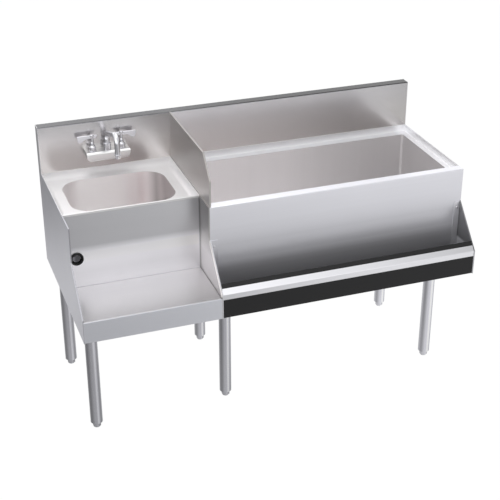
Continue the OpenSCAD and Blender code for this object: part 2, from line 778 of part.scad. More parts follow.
rail_x0 = sink_w + rail_gap;
rail_x1 = unit_w - hem_w;         // where the trough meets the right end's hem
trough_back_z = rail_foot_z + 40; // top of the trough's back flange
lip_foot = [unit_d, rail_face_z];
lip_bend = [unit_d, rail_face_z + lip_band_h];
lip_top = [unit_d - lip_facet_d, rail_face_z + lip_band_h + lip_facet_h];
facet_dir = unit(lip_top - lip_bend);
trough_d1 = unit_d - lip_t;       // dark face of the rail, under the lip and on past it
trough_bend = inset_corner(lip_foot, lip_bend, lip_top, -lip_t);
trough_top = lip_top + rail_brow * facet_dir + lip_t * left_of(facet_dir);
rail_screw_z = slope_top_z - 23;
rail_screw_x = [rail_x0 + rail_flange_w / 2, unit_w - rail_flange_w / 2];
screw_hole_r = 2.2;
screw_r = 2.1;
screw_head_t = 1.6;

module rail_trough() {
  color("#2e2f31") unit_frame() {
    along_x(rail_x0 + sheet, rail_x1) polygon(bent_sheet([
      [bin_front_d, trough_back_z], [bin_front_d, rail_foot_z], [trough_d1, rail_foot_z],
      trough_bend, trough_top
    ], sheet, bend_r));
    for (x0 = [rail_x0 + sheet, rail_x1 - sheet])
      slab(x0, x0 + sheet, bin_front_d + sheet / 2, trough_d1 - sheet / 2,
           rail_foot_z + bend_r, trough_back_z);
  }
}

module rail_lip() {
  color("#dcdde0") unit_frame() along_x(rail_x0 + sheet, rail_x1 - 1)
    polygon(bent_sheet([lip_foot, lip_bend, lip_top], lip_t, lip_t + bend_r));
}

rail_end_outline = [
  [bin_front_d, rail_foot_z], [bin_front_d, slope_top_z + 1.5], [unit_d, slope_foot_z + 3],
  [unit_d, rail_foot_z]
];

// An end of the rail: a plate with a sloped top, with a flange on the bin's front
module rail_end_at(x0, flange_x0) {
  along_x(x0, x0 + sheet) polygon(rail_end_outline);
  difference() {
    slab(flange_x0, flange_x0 + rail_flange_w, bin_front_d, bin_front_d + sheet,
         trough_back_z + 1, slope_top_z);
    rod_d(flange_x0 + rail_flange_w / 2, rail_screw_z, screw_hole_r, bin_front_d - over,
          bin_front_d + sheet + over);
  }
}

// The hem along the sloped top and the front edge of the right end
module rail_end_hem() {
  inner = inset_outline(rail_end_outline, hem_reach);
  along_x(rail_x1, bin_x1 + sheet / 2) difference() {
    polygon(rail_end_outline);
    polygon([[bin_front_d - over, rail_foot_z - over], [bin_front_d - over, inner[1][1]],
             inner[1], inner[2], [inner[2][0], rail_foot_z - over]]);
  }
}

module rail_left_end() {
  color("#9fa0a4") unit_frame() rail_end_at(rail_x0, rail_x0);
}

module rail_right_end() {
  color("#6c6c6e") unit_frame() {
    rail_end_at(bin_x1, unit_w - rail_flange_w);
    rail_end_hem();
  }
}

module rail_screws() {
  color("silver") unit_frame() for (x = rail_screw_x) {
    rod_d(x, rail_screw_z, screw_r, bin_front_d - sheet, bin_front_d + sheet + screw_head_t / 2);
    translate([x, -bin_front_d - sheet, rail_screw_z]) rotate([90, 0, 0])
      cylinder(r1 = rail_screw_r, r2 = rail_screw_r - 1, h = screw_head_t);
  }
}

// ---- legs -------------------------------------------------------------------------------------

gusset_plate_t = 3;
gusset_plate_r = 30;
gusset_fit = 0.15;
gusset_wall = 3.5;
leg_top_z = base_z - gusset_plate_t;
right_leg_x = unit_w - right_leg_inset;
bin_leg_d = bin_front_d - bin_leg_inset;
front_left_at = [left_leg_x, bin_front_d - left_leg_inset];
rear_left_at = [left_leg_x, rear_leg_d];
front_middle_at = [sink_w + mid_front_leg_inset, bin_leg_d];
rear_middle_at = [sink_w + mid_rear_leg_inset, rear_leg_d];
front_right_at = [right_leg_x, bin_leg_d];
rear_right_at = [right_leg_x, rear_leg_d];
leg_places = [front_left_at, rear_left_at, front_middle_at, rear_middle_at, front_right_at,
              rear_right_at];

module leg_gussets() {
  color("#85878b") unit_frame() for (p = leg_places) at(p[0], p[1], 0) {
    translate([0, 0, leg_top_z]) cylinder(r = gusset_plate_r, h = gusset_plate_t);
    translate([0, 0, leg_top_z]) rotate([180, 0, 0])
      rotate_extrude() polygon([
        [leg_r + gusset_fit, 0], [leg_r + gusset_fit, gusset_h],
        [leg_r + gusset_wall - 1, gusset_h], [leg_r + gusset_wall, gusset_h - 3],
        [leg_r + gusset_wall + 1, gusset_h / 3], [gusset_plate_r - 1, 0]
      ]);
  }
}

module leg(p) {
  color("#85868a") unit_frame() at(p[0], p[1], foot_h) ring(leg_r, leg_r - leg_wall, leg_top_z - foot_h);
}

module front_left_leg() { leg(front_left_at); }
module rear_left_leg() { leg(rear_left_at); }
module front_middle_leg() { leg(front_middle_at); }
module rear_middle_leg() { leg(rear_middle_at); }
module front_right_leg() { leg(front_right_at); }
module rear_right_leg() { leg(rear_right_at); }

stem_len = foot_travel + 15;      // 15 mm stay in the socket at full travel
socket_h = stem_len + 5;
socket_fit = 0.1;
stop_gap = 0.5;                   // between the foot's hexagon and its socket at rest

module foot_sockets() {
  color("#6f7074") unit_frame() for (p = leg_places) at(p[0], p[1], foot_h)
    ring(leg_r - leg_wall - socket_fit, foot_stem_r + run_fit, socket_h);
}

module foot(p) {
  hex_top_z = foot_h - stop_gap;
  sole_h = 4;
  color("#7d7e82") unit_frame() at(p[0], p[1], 0) {
    intersection() {
      translate([0, 0, sole_h]) hexagon(foot_flats, hex_top_z - sole_h);
      translate([0, 0, sole_h]) cylinder(r = foot_flats / 2 + 1.4, h = hex_top_z - sole_h);
    }
    cylinder(r1 = foot_flats / 2 - 2.5, r2 = foot_flats / 2, h = sole_h);
    translate([0, 0, hex_top_z]) cylinder(r = foot_stem_r, h = stem_len);
  }
}

module front_left_foot() { foot(front_left_at); }
module rear_left_foot() { foot(rear_left_at); }
module front_middle_foot() { foot(front_middle_at); }
module rear_middle_foot() { foot(rear_middle_at); }
module front_right_foot() { foot(front_right_at); }
module rear_right_foot() { foot(rear_right_at); }

// ---- faucet -----------------------------------------------------------------------------------

faucet_foot_z = faucet_top_z - faucet_h;
faucet_front_d = splash_d + faucet_d;
spigot_depth = 12;
spigot_r = 8;
stem_r = 4;
stem_seat = 14;                   // depth of a stem's bore in its bonnet
bonnet_top_z = faucet_top_z + bonnet_h;
hub_gap = 2.5;                    // between a bonnet and its handle
hub_foot_z = bonnet_top_z + hub_gap;
hub_h = 31.5;
hub_top_z = hub_foot_z + hub_h;
stem_top_z = hub_top_z - 8;
screw_seat_h = 3;
handle_screw_r = 3.2;
handle_thread_r = 1.9;

module faucet_body() {
  corner_r = 22;
  top_r = 3;
  nose_r = 8;
  x0 = faucet_x - faucet_w / 2;
  x1 = faucet_x + faucet_w / 2;
  color("#b9bbbf") unit_frame() difference() {
    intersection() {
      along_d(splash_d, faucet_front_d) union() {
        translate([x0, faucet_foot_z + corner_r]) square([faucet_w, faucet_h - corner_r - top_r]);
        translate([x0 + corner_r, faucet_foot_z]) square([faucet_w - 2 * corner_r, faucet_h]);
        for (x = [x0 + corner_r, x1 - corner_r]) intersection() {
          translate([x, faucet_foot_z + corner_r]) circle(r = corner_r);
          translate([x0, faucet_foot_z]) square([faucet_w, corner_r]);
        }
        for (x = [x0 + top_r, x1 - top_r]) translate([x, faucet_top_z - top_r]) circle(r = top_r);
        translate([x0 + top_r, faucet_top_z - 2 * top_r]) square([faucet_w - 2 * top_r, 2 * top_r]);
      }
      along_x(x0 - over, x1 + over) union() {
        translate([splash_d - over, faucet_foot_z])
          square([faucet_d + over - nose_r, faucet_h]);
        translate([splash_d - over, faucet_foot_z + nose_r])
          square([faucet_d + over, faucet_h - 2 * nose_r]);
        for (z = [faucet_foot_z + nose_r, faucet_top_z - nose_r])
          translate([faucet_front_d - nose_r, z]) circle(r = nose_r);
      }
    }
    at(faucet_x, valve_d, faucet_top_z - spigot_depth)
      cylinder(r = spigot_r + run_fit, h = spigot_depth + over);
  }
}

shank_len = 34;
shank_nut_t = 9;
shank_nut_flats = 30;
shank_step_d = splash_d - sheet - shank_nut_t - 1;

module faucet_shanks() {
  color("#c8a860") unit_frame() for (x = inlet_x) difference() {
    union() {
      rod_d(x, inlet_z, shank_r, splash_d - shank_len, splash_d);
      rod_d(x, inlet_z, shank_r + shank_step, shank_step_d, splash_d);
    }
    rod_d(x, inlet_z, shank_r - 3.5, splash_d - shank_len - over, splash_d - 2);
  }
}

module shank_nuts() {
  color("#c8a860") unit_frame() for (x = inlet_x) difference() {
    translate([x, -(splash_d - sheet - shank_nut_t), inlet_z]) rotate([90, 0, 0])
      hexagon(shank_nut_flats, shank_nut_t);
    rod_d(x, inlet_z, shank_r + shank_step + run_fit, shank_step_d, splash_d);
  }
}

// Bonnet of a valve: a turned nut with a bell-shaped top, bored for its stem
module valve(x) {
  waist_r = bonnet_r - 2.2;
  neck_r = hub_r + 1;
  color("#c3c5c9") unit_frame() at(x, valve_d, faucet_top_z) rotate_extrude() polygon(concat(
    [[0, 0], [bonnet_r, 0], [bonnet_r, 2.5], [waist_r, 4], [waist_r, 0.36 * bonnet_h],
     [bonnet_r, 0.42 * bonnet_h], [bonnet_r, 0.6 * bonnet_h]],
    [for (i = [1:8]) let (a = i * 90 / 8)
      [neck_r + (bonnet_r - neck_r) * (1 - sin(a)), bonnet_h * (1 - 0.4 * cos(a))]],
    [[stem_r + run_fit, bonnet_h], [stem_r + run_fit, bonnet_h - stem_seat],
     [0, bonnet_h - stem_seat]]));
}

module hot_valve() { valve(inlet_x[0]); }
module cold_valve() { valve(inlet_x[1]); }

// The valve's turning stem, fixed in its handle
module stem(x) {
  stem_foot_z = bonnet_top_z - stem_seat + 0.5;
  color("#c8a860") unit_frame() at(x, valve_d, stem_foot_z) difference() {
    cylinder(r = stem_r, h = stem_top_z - stem_foot_z);
    translate([0, 0, stem_top_z - stem_foot_z - 7])
      cylinder(r = handle_thread_r + run_fit, h = 7 + over);
  }
}

module hot_stem() { stem(inlet_x[0]); }
module cold_stem() { stem(inlet_x[1]); }

// Lower edge of a lever: flat under the neck, then swelling down to the paddle
lever_h = 22.8;                   // height of the paddle
lever_neck_h = 11.4;
lever_top_drop = 2.3;
lever_neck_u = 8;
lever_belly_u = 34;
function lever_edge(s) = lever_neck_h + (lever_h - lever_neck_h) * (1 - cos(180 * s)) / 2;

module lever_profile() {
  end_r = lever_h / 2;
  swell_steps = 10;
  polygon(concat(
    [[-lever_tail, 0], [lever_len - end_r, 0], [lever_len - end_r, -lever_h]],
    [for (i = [swell_steps:-1:0]) let (s = i / swell_steps)
      [lever_neck_u + (lever_belly_u - lever_neck_u) * s, -lever_edge(s)]],
    [[-lever_tail + 6, -lever_neck_h + 1], [-lever_tail, -lever_neck_h + 5]]));
  translate([lever_len - end_r, -end_r]) circle(r = end_r);
}

module handle(x, side) {
  hub_bore_top_z = stem_top_z + 0.3;
  color("#c9cbd0") unit_frame() at(x, valve_d, 0) difference() {
    union() {
      translate([0, 0, hub_foot_z]) cylinder(r = hub_r, h = hub_h);
      translate([0, lever_t / 2, hub_top_z - lever_top_drop]) mirror([side < 0 ? 1 : 0, 0, 0])
        rotate([90, 0, 0]) linear_extrude(lever_t) lever_profile();
    }
    translate([0, 0, hub_foot_z - over])
      cylinder(r = stem_r + run_fit, h = hub_bore_top_z - hub_foot_z + over);
    translate([0, 0, hub_foot_z]) cylinder(r = handle_thread_r + 0.3, h = hub_h + over);
    translate([0, 0, hub_top_z - screw_seat_h])
      cylinder(r = handle_screw_r + 0.2, h = screw_seat_h + over);
  }
}

module hot_handle() { handle(inlet_x[0], -1); }
module cold_handle() { handle(inlet_x[1], 1); }

module handle_screw(x) {
  screw_foot_z = stem_top_z - 6;
  color("silver") unit_frame() at(x, valve_d, 0) {
    translate([0, 0, screw_foot_z])
      cylinder(r = handle_thread_r, h = hub_top_z - screw_seat_h - screw_foot_z);
    translate([0, 0, hub_top_z - screw_seat_h]) cylinder(r = handle_screw_r, h = screw_seat_h - 0.5);
  }
}

module hot_handle_screw() { handle_screw(inlet_x[0]); }
module cold_handle_screw() { handle_screw(inlet_x[1]); }

nut_cap_h = 3.4;

module spout_nut() {
  color("#bfc1c5") unit_frame() at(faucet_x, valve_d, faucet_top_z) difference() {
    union() {
      cylinder(r = bonnet_r, h = bonnet_h - nut_cap_h);
      translate([0, 0, bonnet_h - nut_cap_h]) cylinder(r1 = bonnet_r, r2 = bonnet_r + 1, h = 1);
      translate([0, 0, bonnet_h - nut_cap_h + 1])
        cylinder(r1 = bonnet_r + 1, r2 = bonnet_r - 1, h = nut_cap_h - 1);
    }
    translate([0, 0, -over]) cylinder(r = spigot_r + run_fit, h = bonnet_h + 2 * over);
  }
}

// The spout's centreline lies in the plane x = 0 of its own frame; d is the reach from the axis
spout_collar_z = bonnet_top_z + 0.3;
spout_bend_z = bonnet_top_z + 19;   // start of the lower bend
low_turn = 90 - spout_slope;
high_turn = 90 + spout_slope;
low_out = spout_low_r * (1 - cos(low_turn));
low_up = spout_low_r * sin(low_turn);
high_out = spout_high_r * (1 + sin(spout_slope));
arm_run = spout_reach - low_out - high_out;
arm_len = arm_run / cos(spout_slope);
arm_rise = arm_len * sin(spout_slope);
high_centre_z = spout_bend_z + low_up + arm_rise - spout_high_r * cos(spout_slope);
spout_end_z = high_centre_z - spout_drop;

module tube_section(extra = 0) {
  difference() {
    circle(r = spout_r + extra);
    circle(r = spout_r - spout_wall - extra);
  }
}

// Lengths of the spout's tube, each starting at its own origin along +y; what follows is its child.
// A straight length is a hair thicker than the elbows and laps over their ends.
lap = 0.5;
lap_t = 0.05;

module straight(len, end_lap) {
  translate([0, -lap, 0]) rotate([-90, 0, 0]) linear_extrude(len + lap + end_lap) tube_section(lap_t);
  translate([0, len, 0]) children();
}

module elbow(r, turn) {
  translate([-r, 0, 0]) {
    rotate_extrude(angle = turn) translate([r, 0]) tube_section();
    rotate([0, 0, turn]) translate([r, 0, 0]) children();
  }
}

module spout() {
  spigot_foot_z = faucet_top_z - spigot_depth + 0.5;
  seat = 1;                       // how deep the tube sits in its collar
  color("#c6c8cd") unit_frame() at(faucet_x, valve_d, 0) {
    translate([0, 0, spigot_foot_z])
      ring(spigot_r, spigot_r - spout_wall, spout_collar_z - spigot_foot_z);
    translate([0, 0, spout_collar_z])
      ring(spout_r + 0.5, spigot_r - spout_wall, spout_bend_z + seat - spout_collar_z);
    translate([0, 0, spout_bend_z]) rotate([90, 0, 90])
      elbow(spout_low_r, low_turn) straight(arm_len, lap) elbow(spout_high_r, high_turn)
        straight(spout_drop, 0);
  }
}

aerator_h = 15;
aerator_cap_h = 4.5;
aerator_cap_r = 11.2;
aerator_flats = 16.6;
aerator_gap = 0.1;

module aerator() {
  bore_r = spout_r - spout_wall;
  color("#b4b6ba") unit_frame() at(faucet_x, valve_d + spout_reach, spout_end_z) difference() {
    union() {
      translate([0, 0, -aerator_h]) hexagon(aerator_flats, aerator_h);
      translate([0, 0, -aerator_cap_h]) cylinder(r = aerator_cap_r, h = aerator_cap_h);
      cylinder(r = bore_r - aerator_gap, h = 5);
    }
    translate([0, 0, -aerator_h - over]) cylinder(r = bore_r - 1.6, h = aerator_h + 5 + 2 * over);
  }
}

backsplash();
left_splash_cap();
right_splash_cap();
divider_splash();
sink_deck();
sink_bowl();
drain_body();
drain_strainer();
drain_gasket();
drain_locknut();
tailpiece();
riser_panel();
cord_grommet();
lower_shelf();
left_end_panel();
sink_right_panel();
left_leg_channel();
bin_rim();
bin_liner();
bin_insulation();
bin_front_panel();
bin_left_panel();
bin_right_panel();
bin_back_panel();
bin_bottom_panel();
bin_drain_pipe();
bin_drain_strainer();
rail_trough();
rail_lip();
rail_left_end();
rail_right_end();
rail_screws();
leg_gussets();
front_left_leg();
rear_left_leg();
front_middle_leg();
rear_middle_leg();
front_right_leg();
rear_right_leg();
foot_sockets();
front_left_foot();
rear_left_foot();
front_middle_foot();
rear_middle_foot();
front_right_foot();
rear_right_foot();
faucet_body();
faucet_shanks();
shank_nuts();
hot_valve();
cold_valve();
hot_stem();
cold_stem();
hot_handle();
cold_handle();
hot_handle_screw();
cold_handle_screw();
spout_nut();
spout();
aerator();
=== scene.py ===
# %% [markdown]
# An underbar station: sink, lower shelf and faucet on the left, ice bin and bottle rail on the right.
# The shapes were drawn in CAD and are loaded here as fixed bodies, so this lesson is about looks: how
# sheet steel, tube, plating and powder coat are told apart by their nodes, and which small pieces are
# worth modelling over a CAD solid. Everything is in metres and stands where the CAD put it.

# %% Load the CAD bodies
import math

import bmesh
import bpy
from mathutils import Matrix, Vector


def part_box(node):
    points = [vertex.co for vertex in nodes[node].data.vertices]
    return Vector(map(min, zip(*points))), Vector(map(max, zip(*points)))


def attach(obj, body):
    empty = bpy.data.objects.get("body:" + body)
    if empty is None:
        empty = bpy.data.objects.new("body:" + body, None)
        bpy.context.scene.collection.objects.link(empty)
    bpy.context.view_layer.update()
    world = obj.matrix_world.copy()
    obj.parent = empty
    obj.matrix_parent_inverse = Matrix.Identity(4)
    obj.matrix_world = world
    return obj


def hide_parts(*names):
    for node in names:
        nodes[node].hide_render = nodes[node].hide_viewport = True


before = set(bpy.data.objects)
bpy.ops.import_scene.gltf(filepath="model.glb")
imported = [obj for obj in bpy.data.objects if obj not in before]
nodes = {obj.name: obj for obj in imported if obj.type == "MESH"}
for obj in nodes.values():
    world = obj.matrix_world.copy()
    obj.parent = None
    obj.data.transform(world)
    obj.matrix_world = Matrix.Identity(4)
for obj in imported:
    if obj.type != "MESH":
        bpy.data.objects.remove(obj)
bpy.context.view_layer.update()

# %% [markdown]
# The photograph was taken from the front left, a little above the rims. Its camera was fitted to
# measured corners of the steel, so the render can be laid over it. Depth of field stays off: a
# product photograph like this one is sharp from the near feet to the far backsplash.

# %% Camera
camera_heading = math.radians(19.6527)      # turned from straight ahead to the right
camera_tilt = math.radians(27.6005)         # looking down

camera_data = bpy.data.cameras.new("photo_camera")
camera_data.sensor_width = 36
camera_data.lens = 83.4175
camera = bpy.data.objects.new("photo_camera", camera_data)
camera.location = (-1.23012, -3.36797, 2.36827)
camera.rotation_euler = (math.pi / 2 - camera_tilt, 0, -camera_heading)
bpy.context.scene.collection.objects.link(camera)
bpy.context.scene.camera = camera
bpy.context.scene.view_settings.view_transform = "Standard"
print("camera at", tuple(round(v, 3) for v in camera.location))

# %% [markdown]
# Node materials are written with small helpers. The first makes a node, fills its sockets and returns
# it: a socket takes a number or colour as it is, and the output of another node as a link. Sockets
# that share a name are given by their place, as i0 or i1. The other helpers name the nodes that recur.

# %% Helpers for node trees
def new_material(name):
    material = bpy.data.materials.new(name)
    material.use_nodes = True
    material.node_tree.nodes.clear()
    return material


def find_socket(node, key):
    if key[0] == "i" and key[1:].isdigit():
        return node.inputs[int(key[1:])]
    return node.inputs[key.replace("_", " ")]


def add_node(tree, kind, settings=None, **sockets):
    node = tree.nodes.new(kind)
    for key, value in (settings or {}).items():
        setattr(node, key, value)
    for key, value in sockets.items():
        socket = find_socket(node, key)
        if isinstance(value, bpy.types.NodeSocket):
            tree.links.new(value, socket)
        else:
            socket.default_value = value
    return node


def object_place(tree):
    return add_node(tree, "ShaderNodeTexCoord").outputs["Object"]


def part_of(tree, vector, axis):
    return add_node(tree, "ShaderNodeSeparateXYZ", Vector=vector).outputs[axis]


def remap(tree, value, first, last, low=0.0, high=1.0):
    return add_node(tree, "ShaderNodeMapRange", Value=value, From_Min=first, From_Max=last,
                    To_Min=low, To_Max=high).outputs[0]


def noise(tree, place, scale, detail, roughness=0.5):
    return add_node(tree, "ShaderNodeTexNoise", Vector=place, Scale=scale, Detail=detail,
                    Roughness=roughness).outputs["Fac"]


def calculate(tree, operation, first, second):
    return add_node(tree, "ShaderNodeMath", {"operation": operation}, i0=first, i1=second).outputs[0]


def mix_colours(tree, share, first, second, blend="MIX"):
    return add_node(tree, "ShaderNodeMix", {"data_type": "RGBA", "blend_type": blend},
                    i0=share, i6=first, i7=second).outputs[2]


def mix_shaders(tree, share, first, second):
    return add_node(tree, "ShaderNodeMixShader", i0=share, i1=first, i2=second).outputs[0]


def ramp(tree, factor, stops):
    node = add_node(tree, "ShaderNodeValToRGB", Fac=factor)
    marks = node.color_ramp.elements
    while len(marks) < len(stops):
        marks.new(0.5)
    for mark, (place, colour) in zip(marks, stops):
        mark.position = place
        mark.color = (*colour, 1) if isinstance(colour, tuple) else (colour, colour, colour, 1)
    return node.outputs["Color"]


def spread(tree, value, first, last, stops):
    """A ramp laid over a stretch of values; its stops run from 0 to 1 along that stretch."""
    return ramp(tree, remap(tree, value, first, last), stops)


print("helpers for node trees are ready")

# %% [markdown]
# The studio is a white sweep. To the camera the floor is white with the faintest shadow under the
# feet. What steel mirrors is another matter: a floor that is white all over would drown every fold, so
# to glossy rays it is a grey that brightens to the right, as it does beside a soft box.

# %% Floor
FLOOR_HALF = 30           # metres from the middle to an edge
FLOOR_DROP = 0.0004       # a hair below the feet, so that floor and soles don't share a plane
SWEEP_SHARE = 0.97        # of what the camera sees; the rest is paint, which takes the shadow
SWEEP_GLOW = 1.025
MIRRORED_GLOW = 1.22

floor_mesh = bpy.data.meshes.new("studio_floor")
grid = bmesh.new()
bmesh.ops.create_grid(grid, x_segments=1, y_segments=1, size=FLOOR_HALF)
bmesh.ops.translate(grid, verts=grid.verts, vec=(0, 0, -FLOOR_DROP))
grid.to_mesh(floor_mesh)
grid.free()
studio_floor = bpy.data.objects.new("studio_floor", floor_mesh)
bpy.context.scene.collection.objects.link(studio_floor)

floor_material = new_material("studio_floor_paint")
tree = floor_material.node_tree
path = add_node(tree, "ShaderNodeLightPath").outputs
place = object_place(tree)
across = spread(tree, part_of(tree, place, "X"), -1.0, 1.5,
                [(0.0, 0.52), (0.2, 0.6), (0.5, 0.82), (0.85, 1.0), (1.0, 1.0)])
behind = spread(tree, part_of(tree, place, "Y"), 0.0, 2.0,
                [(0.0, 0.7), (0.4, 1.0), (0.55, 0.9), (0.82, 0.5), (1.0, 0.4)])
mirrored = calculate(tree, "MULTIPLY", across, behind)
paint = add_node(tree, "ShaderNodeBsdfDiffuse", Color=(0.9, 0.9, 0.9, 1)).outputs[0]
sweep = add_node(tree, "ShaderNodeEmission", Color=(1, 1, 1, 1), Strength=SWEEP_GLOW).outputs[0]
ground = add_node(tree, "ShaderNodeEmission", Color=mirrored, Strength=MIRRORED_GLOW).outputs[0]
seen = calculate(tree, "MAXIMUM", path["Is Camera Ray"], path["Is Transmission Ray"])
to_camera = mix_shaders(tree, calculate(tree, "MULTIPLY", seen, SWEEP_SHARE), paint, sweep)
to_steel = mix_shaders(tree, path["Is Glossy Ray"], to_camera, ground)
add_node(tree, "ShaderNodeOutputMaterial", Surface=to_steel)
floor_mesh.materials.append(floor_material)
print("floor:", 2 * FLOOR_HALF, "m wide,", len(tree.nodes), "nodes in its paint")

# %% [markdown]
# Steel shows what is round it, so the sky is drawn for the steel: a bright band before and above the
# sink, falling off to the right and overhead, and a calmer half behind. The camera sees plain white,
# and diffuse light takes an even grey.

# %% Sky
MIRRORED_SKY = 2.0        # how bright the drawn sky is to glossy rays
FILL_LIGHT = 0.6          # how bright the even grey is to diffuse rays

world = bpy.data.worlds.new("studio_sky")
bpy.context.scene.world = world
world.use_nodes = True
tree = world.node_tree
tree.nodes.clear()
direction = add_node(tree, "ShaderNodeTexCoord").outputs["Generated"]
parts = add_node(tree, "ShaderNodeSeparateXYZ", Vector=direction).outputs
front = ramp(tree, parts["Z"], [(0.0, 0.8), (0.44, 0.95), (0.75, 0.75), (1.0, 0.45)])
back = ramp(tree, parts["Z"], [(0.0, 0.75), (0.3, 0.8), (0.5, 0.8), (0.8, 0.5), (1.0, 0.45)])
front_side = spread(tree, parts["X"], -1.0, 1.0,
                    [(0.0, 0.9), (0.57, 1.0), (0.64, 0.84), (0.67, 0.72), (0.7, 0.54), (0.73, 0.36),
                     (1.0, 0.3)])
back_side = spread(tree, parts["X"], -1.0, 1.0, [(0.0, 0.9), (0.57, 1.0), (0.73, 0.75), (1.0, 0.6)])
turned_back = remap(tree, parts["Y"], -0.2, 0.2)
level = mix_colours(tree, turned_back, front, back)
fall = mix_colours(tree, turned_back, front_side, back_side)
sky = mix_colours(tree, 1.0, level, fall, "MULTIPLY")
path = add_node(tree, "ShaderNodeLightPath").outputs
reflected = add_node(tree, "ShaderNodeBackground", Color=sky, Strength=MIRRORED_SKY).outputs[0]
white = add_node(tree, "ShaderNodeBackground", Color=(1, 1, 1, 1), Strength=1.0).outputs[0]
even = add_node(tree, "ShaderNodeBackground", Color=(0.9, 0.9, 0.9, 1), Strength=FILL_LIGHT).outputs[0]
lit = mix_shaders(tree, path["Is Glossy Ray"], even, reflected)
add_node(tree, "ShaderNodeOutputWorld", Surface=mix_shaders(tree, path["Is Camera Ray"], lit, white))
print("sky:", world.name, "with", len(tree.nodes), "nodes")

# %% [markdown]
# Two soft boxes add the gentle fall of light from the left: a large one overhead, a little left of the
# middle, and a weaker one at the side.

# %% Lamps
def soft_box(name, place, aim, width, height, power):
    lamp = bpy.data.lights.new(name, "AREA")
    lamp.shape = "RECTANGLE"
    lamp.size = width
    lamp.size_y = height
    lamp.energy = power
    holder = bpy.data.objects.new(name, lamp)
    holder.location = place
    holder.rotation_euler = (Vector(aim) - Vector(place)).to_track_quat("-Z", "Y").to_euler()
    bpy.context.scene.collection.objects.link(holder)


station_middle = (0, 0, 0.6)
soft_box("overhead_box", (-0.4, 0.2, 3.4), station_middle, 2.6, 2.0, 30)
soft_box("left_box", (-3.2, -1.2, 1.8), station_middle, 1.6, 1.8, 8)

# %% [markdown]
# Satin sheet is three things at once: a pale metal, fine parallel scratches, and slow clouds where the
# belt pressed harder. One stretched noise gives the scratches; it feeds the roughness, the colour and
# a faint bump. A second, large and soft, gives the clouds. The stretch follows the direction in which
# each sheet was brushed. Every sheet also has painted shading, slow changes of tone along one axis, which
# paint in the light, shade and reflections that fall on it.

# %% Brushed steel
GRAIN_ALONG = {"x": (1.2, 260, 260), "y": (260, 1.2, 260), "z": (260, 260, 1.2)}
STREAK_SHARE = 0.12            # the streaks are that much coarser than the scratches
NOISE_RANGE = (0.3, 0.7)       # what one noise seldom leaves
GRAIN_RANGE = (0.7, 1.3)       # the same for two noises added
TONE_RANGE = (0.985, 1.01)     # how little the grain and the clouds change the tone


def halved(factor):
    return tuple(f / 2 for f in factor) if isinstance(factor, tuple) else factor / 2


def doubled(tree, value):
    return add_node(tree, "ShaderNodeVectorMath", {"operation": "SCALE"}, i0=value, Scale=2.0).outputs[0]


def times(tree, first, second):
    return add_node(tree, "ShaderNodeVectorMath", {"operation": "MULTIPLY"},
                    i0=first, i1=second).outputs[0]


def tone_along(tree, place, axis, stops):
    """Tones laid along one axis of the object: stops are (place in metres, factor or colour up to 2).
    A ramp ends at 1, so it holds half the factor and is doubled."""
    first, last = stops[0][0], stops[-1][0]
    shares = [((p - first) / (last - first), halved(f)) for p, f in stops]
    return doubled(tree, spread(tree, part_of(tree, place, axis), first, last, shares))


def reflection_by_facing(tree, stops):
    """Painted reflection stripes: tones by how far a face is turned to the left (0) or to the right (1).
    """
    normal = add_node(tree, "ShaderNodeNewGeometry").outputs["Normal"]
    return doubled(tree, spread(tree, part_of(tree, normal, "X"), -1.0, 1.0,
                                [(p, halved(f)) for p, f in stops]))


def brushed_steel(name, tone, along="x", roughness=0.3, warm=0.0, blue=0.04, painted_shading=(), metallic=0.92,
                  painted_stripes=None, bump_depth=0.0003):
    """Painted shading is a list of (axis, stops) or (axis, stops, mask), each painting light and shade
    along one axis: with a mask (axis, from, to) it fades in there.
    """
    material = new_material(name)
    tree = material.node_tree
    place = object_place(tree)
    fine = add_node(tree, "ShaderNodeMapping", Vector=place, Scale=GRAIN_ALONG[along]).outputs[0]
    scratches = noise(tree, fine, 1.0, 6.0, 0.7)
    broad = add_node(tree, "ShaderNodeMapping", Vector=place,
                     Scale=tuple(v * STREAK_SHARE for v in GRAIN_ALONG[along])).outputs[0]
    streaks = noise(tree, broad, 1.0, 3.0)
    clouds = noise(tree, place, 3.0, 2.0)
    grain = calculate(tree, "ADD", scratches, streaks)
    level = calculate(tree, "MULTIPLY", remap(tree, grain, *GRAIN_RANGE, *TONE_RANGE),
                      remap(tree, clouds, *NOISE_RANGE, *TONE_RANGE))
    # each entry of painted shading paints lighter and darker tones of light and shade into the colour
    for axis, stops, *mask in painted_shading:
        painted_ramp = tone_along(tree, place, axis, stops)
        if mask:
            mask_axis, start, end = mask[0]
            there = remap(tree, part_of(tree, place, mask_axis), start, end)
            painted_ramp = mix_colours(tree, there, (1, 1, 1, 1), painted_ramp)
        level = times(tree, level, painted_ramp)
    # painted reflection stripes, by which way each face is turned
    if painted_stripes:
        level = times(tree, level, reflection_by_facing(tree, painted_stripes))
    if isinstance(metallic, tuple):
        metallic = tone_along(tree, place, *metallic)
    steel = (tone * (1 + warm), tone, tone * (1 + blue - 1.5 * warm), 1)
    colour = mix_colours(tree, 1.0, steel, level, "MULTIPLY")
    gloss = remap(tree, grain, *GRAIN_RANGE, roughness - 0.015, roughness + 0.02)
    bump = add_node(tree, "ShaderNodeBump", Height=scratches, Strength=0.015,
                    Distance=bump_depth).outputs[0]
    metal = add_node(tree, "ShaderNodeBsdfPrincipled", Base_Color=colour, Metallic=metallic,
                     Roughness=gloss, Normal=bump)
    add_node(tree, "ShaderNodeOutputMaterial", Surface=metal.outputs[0])
    return material


print("grain runs along", ", ".join(GRAIN_ALONG))
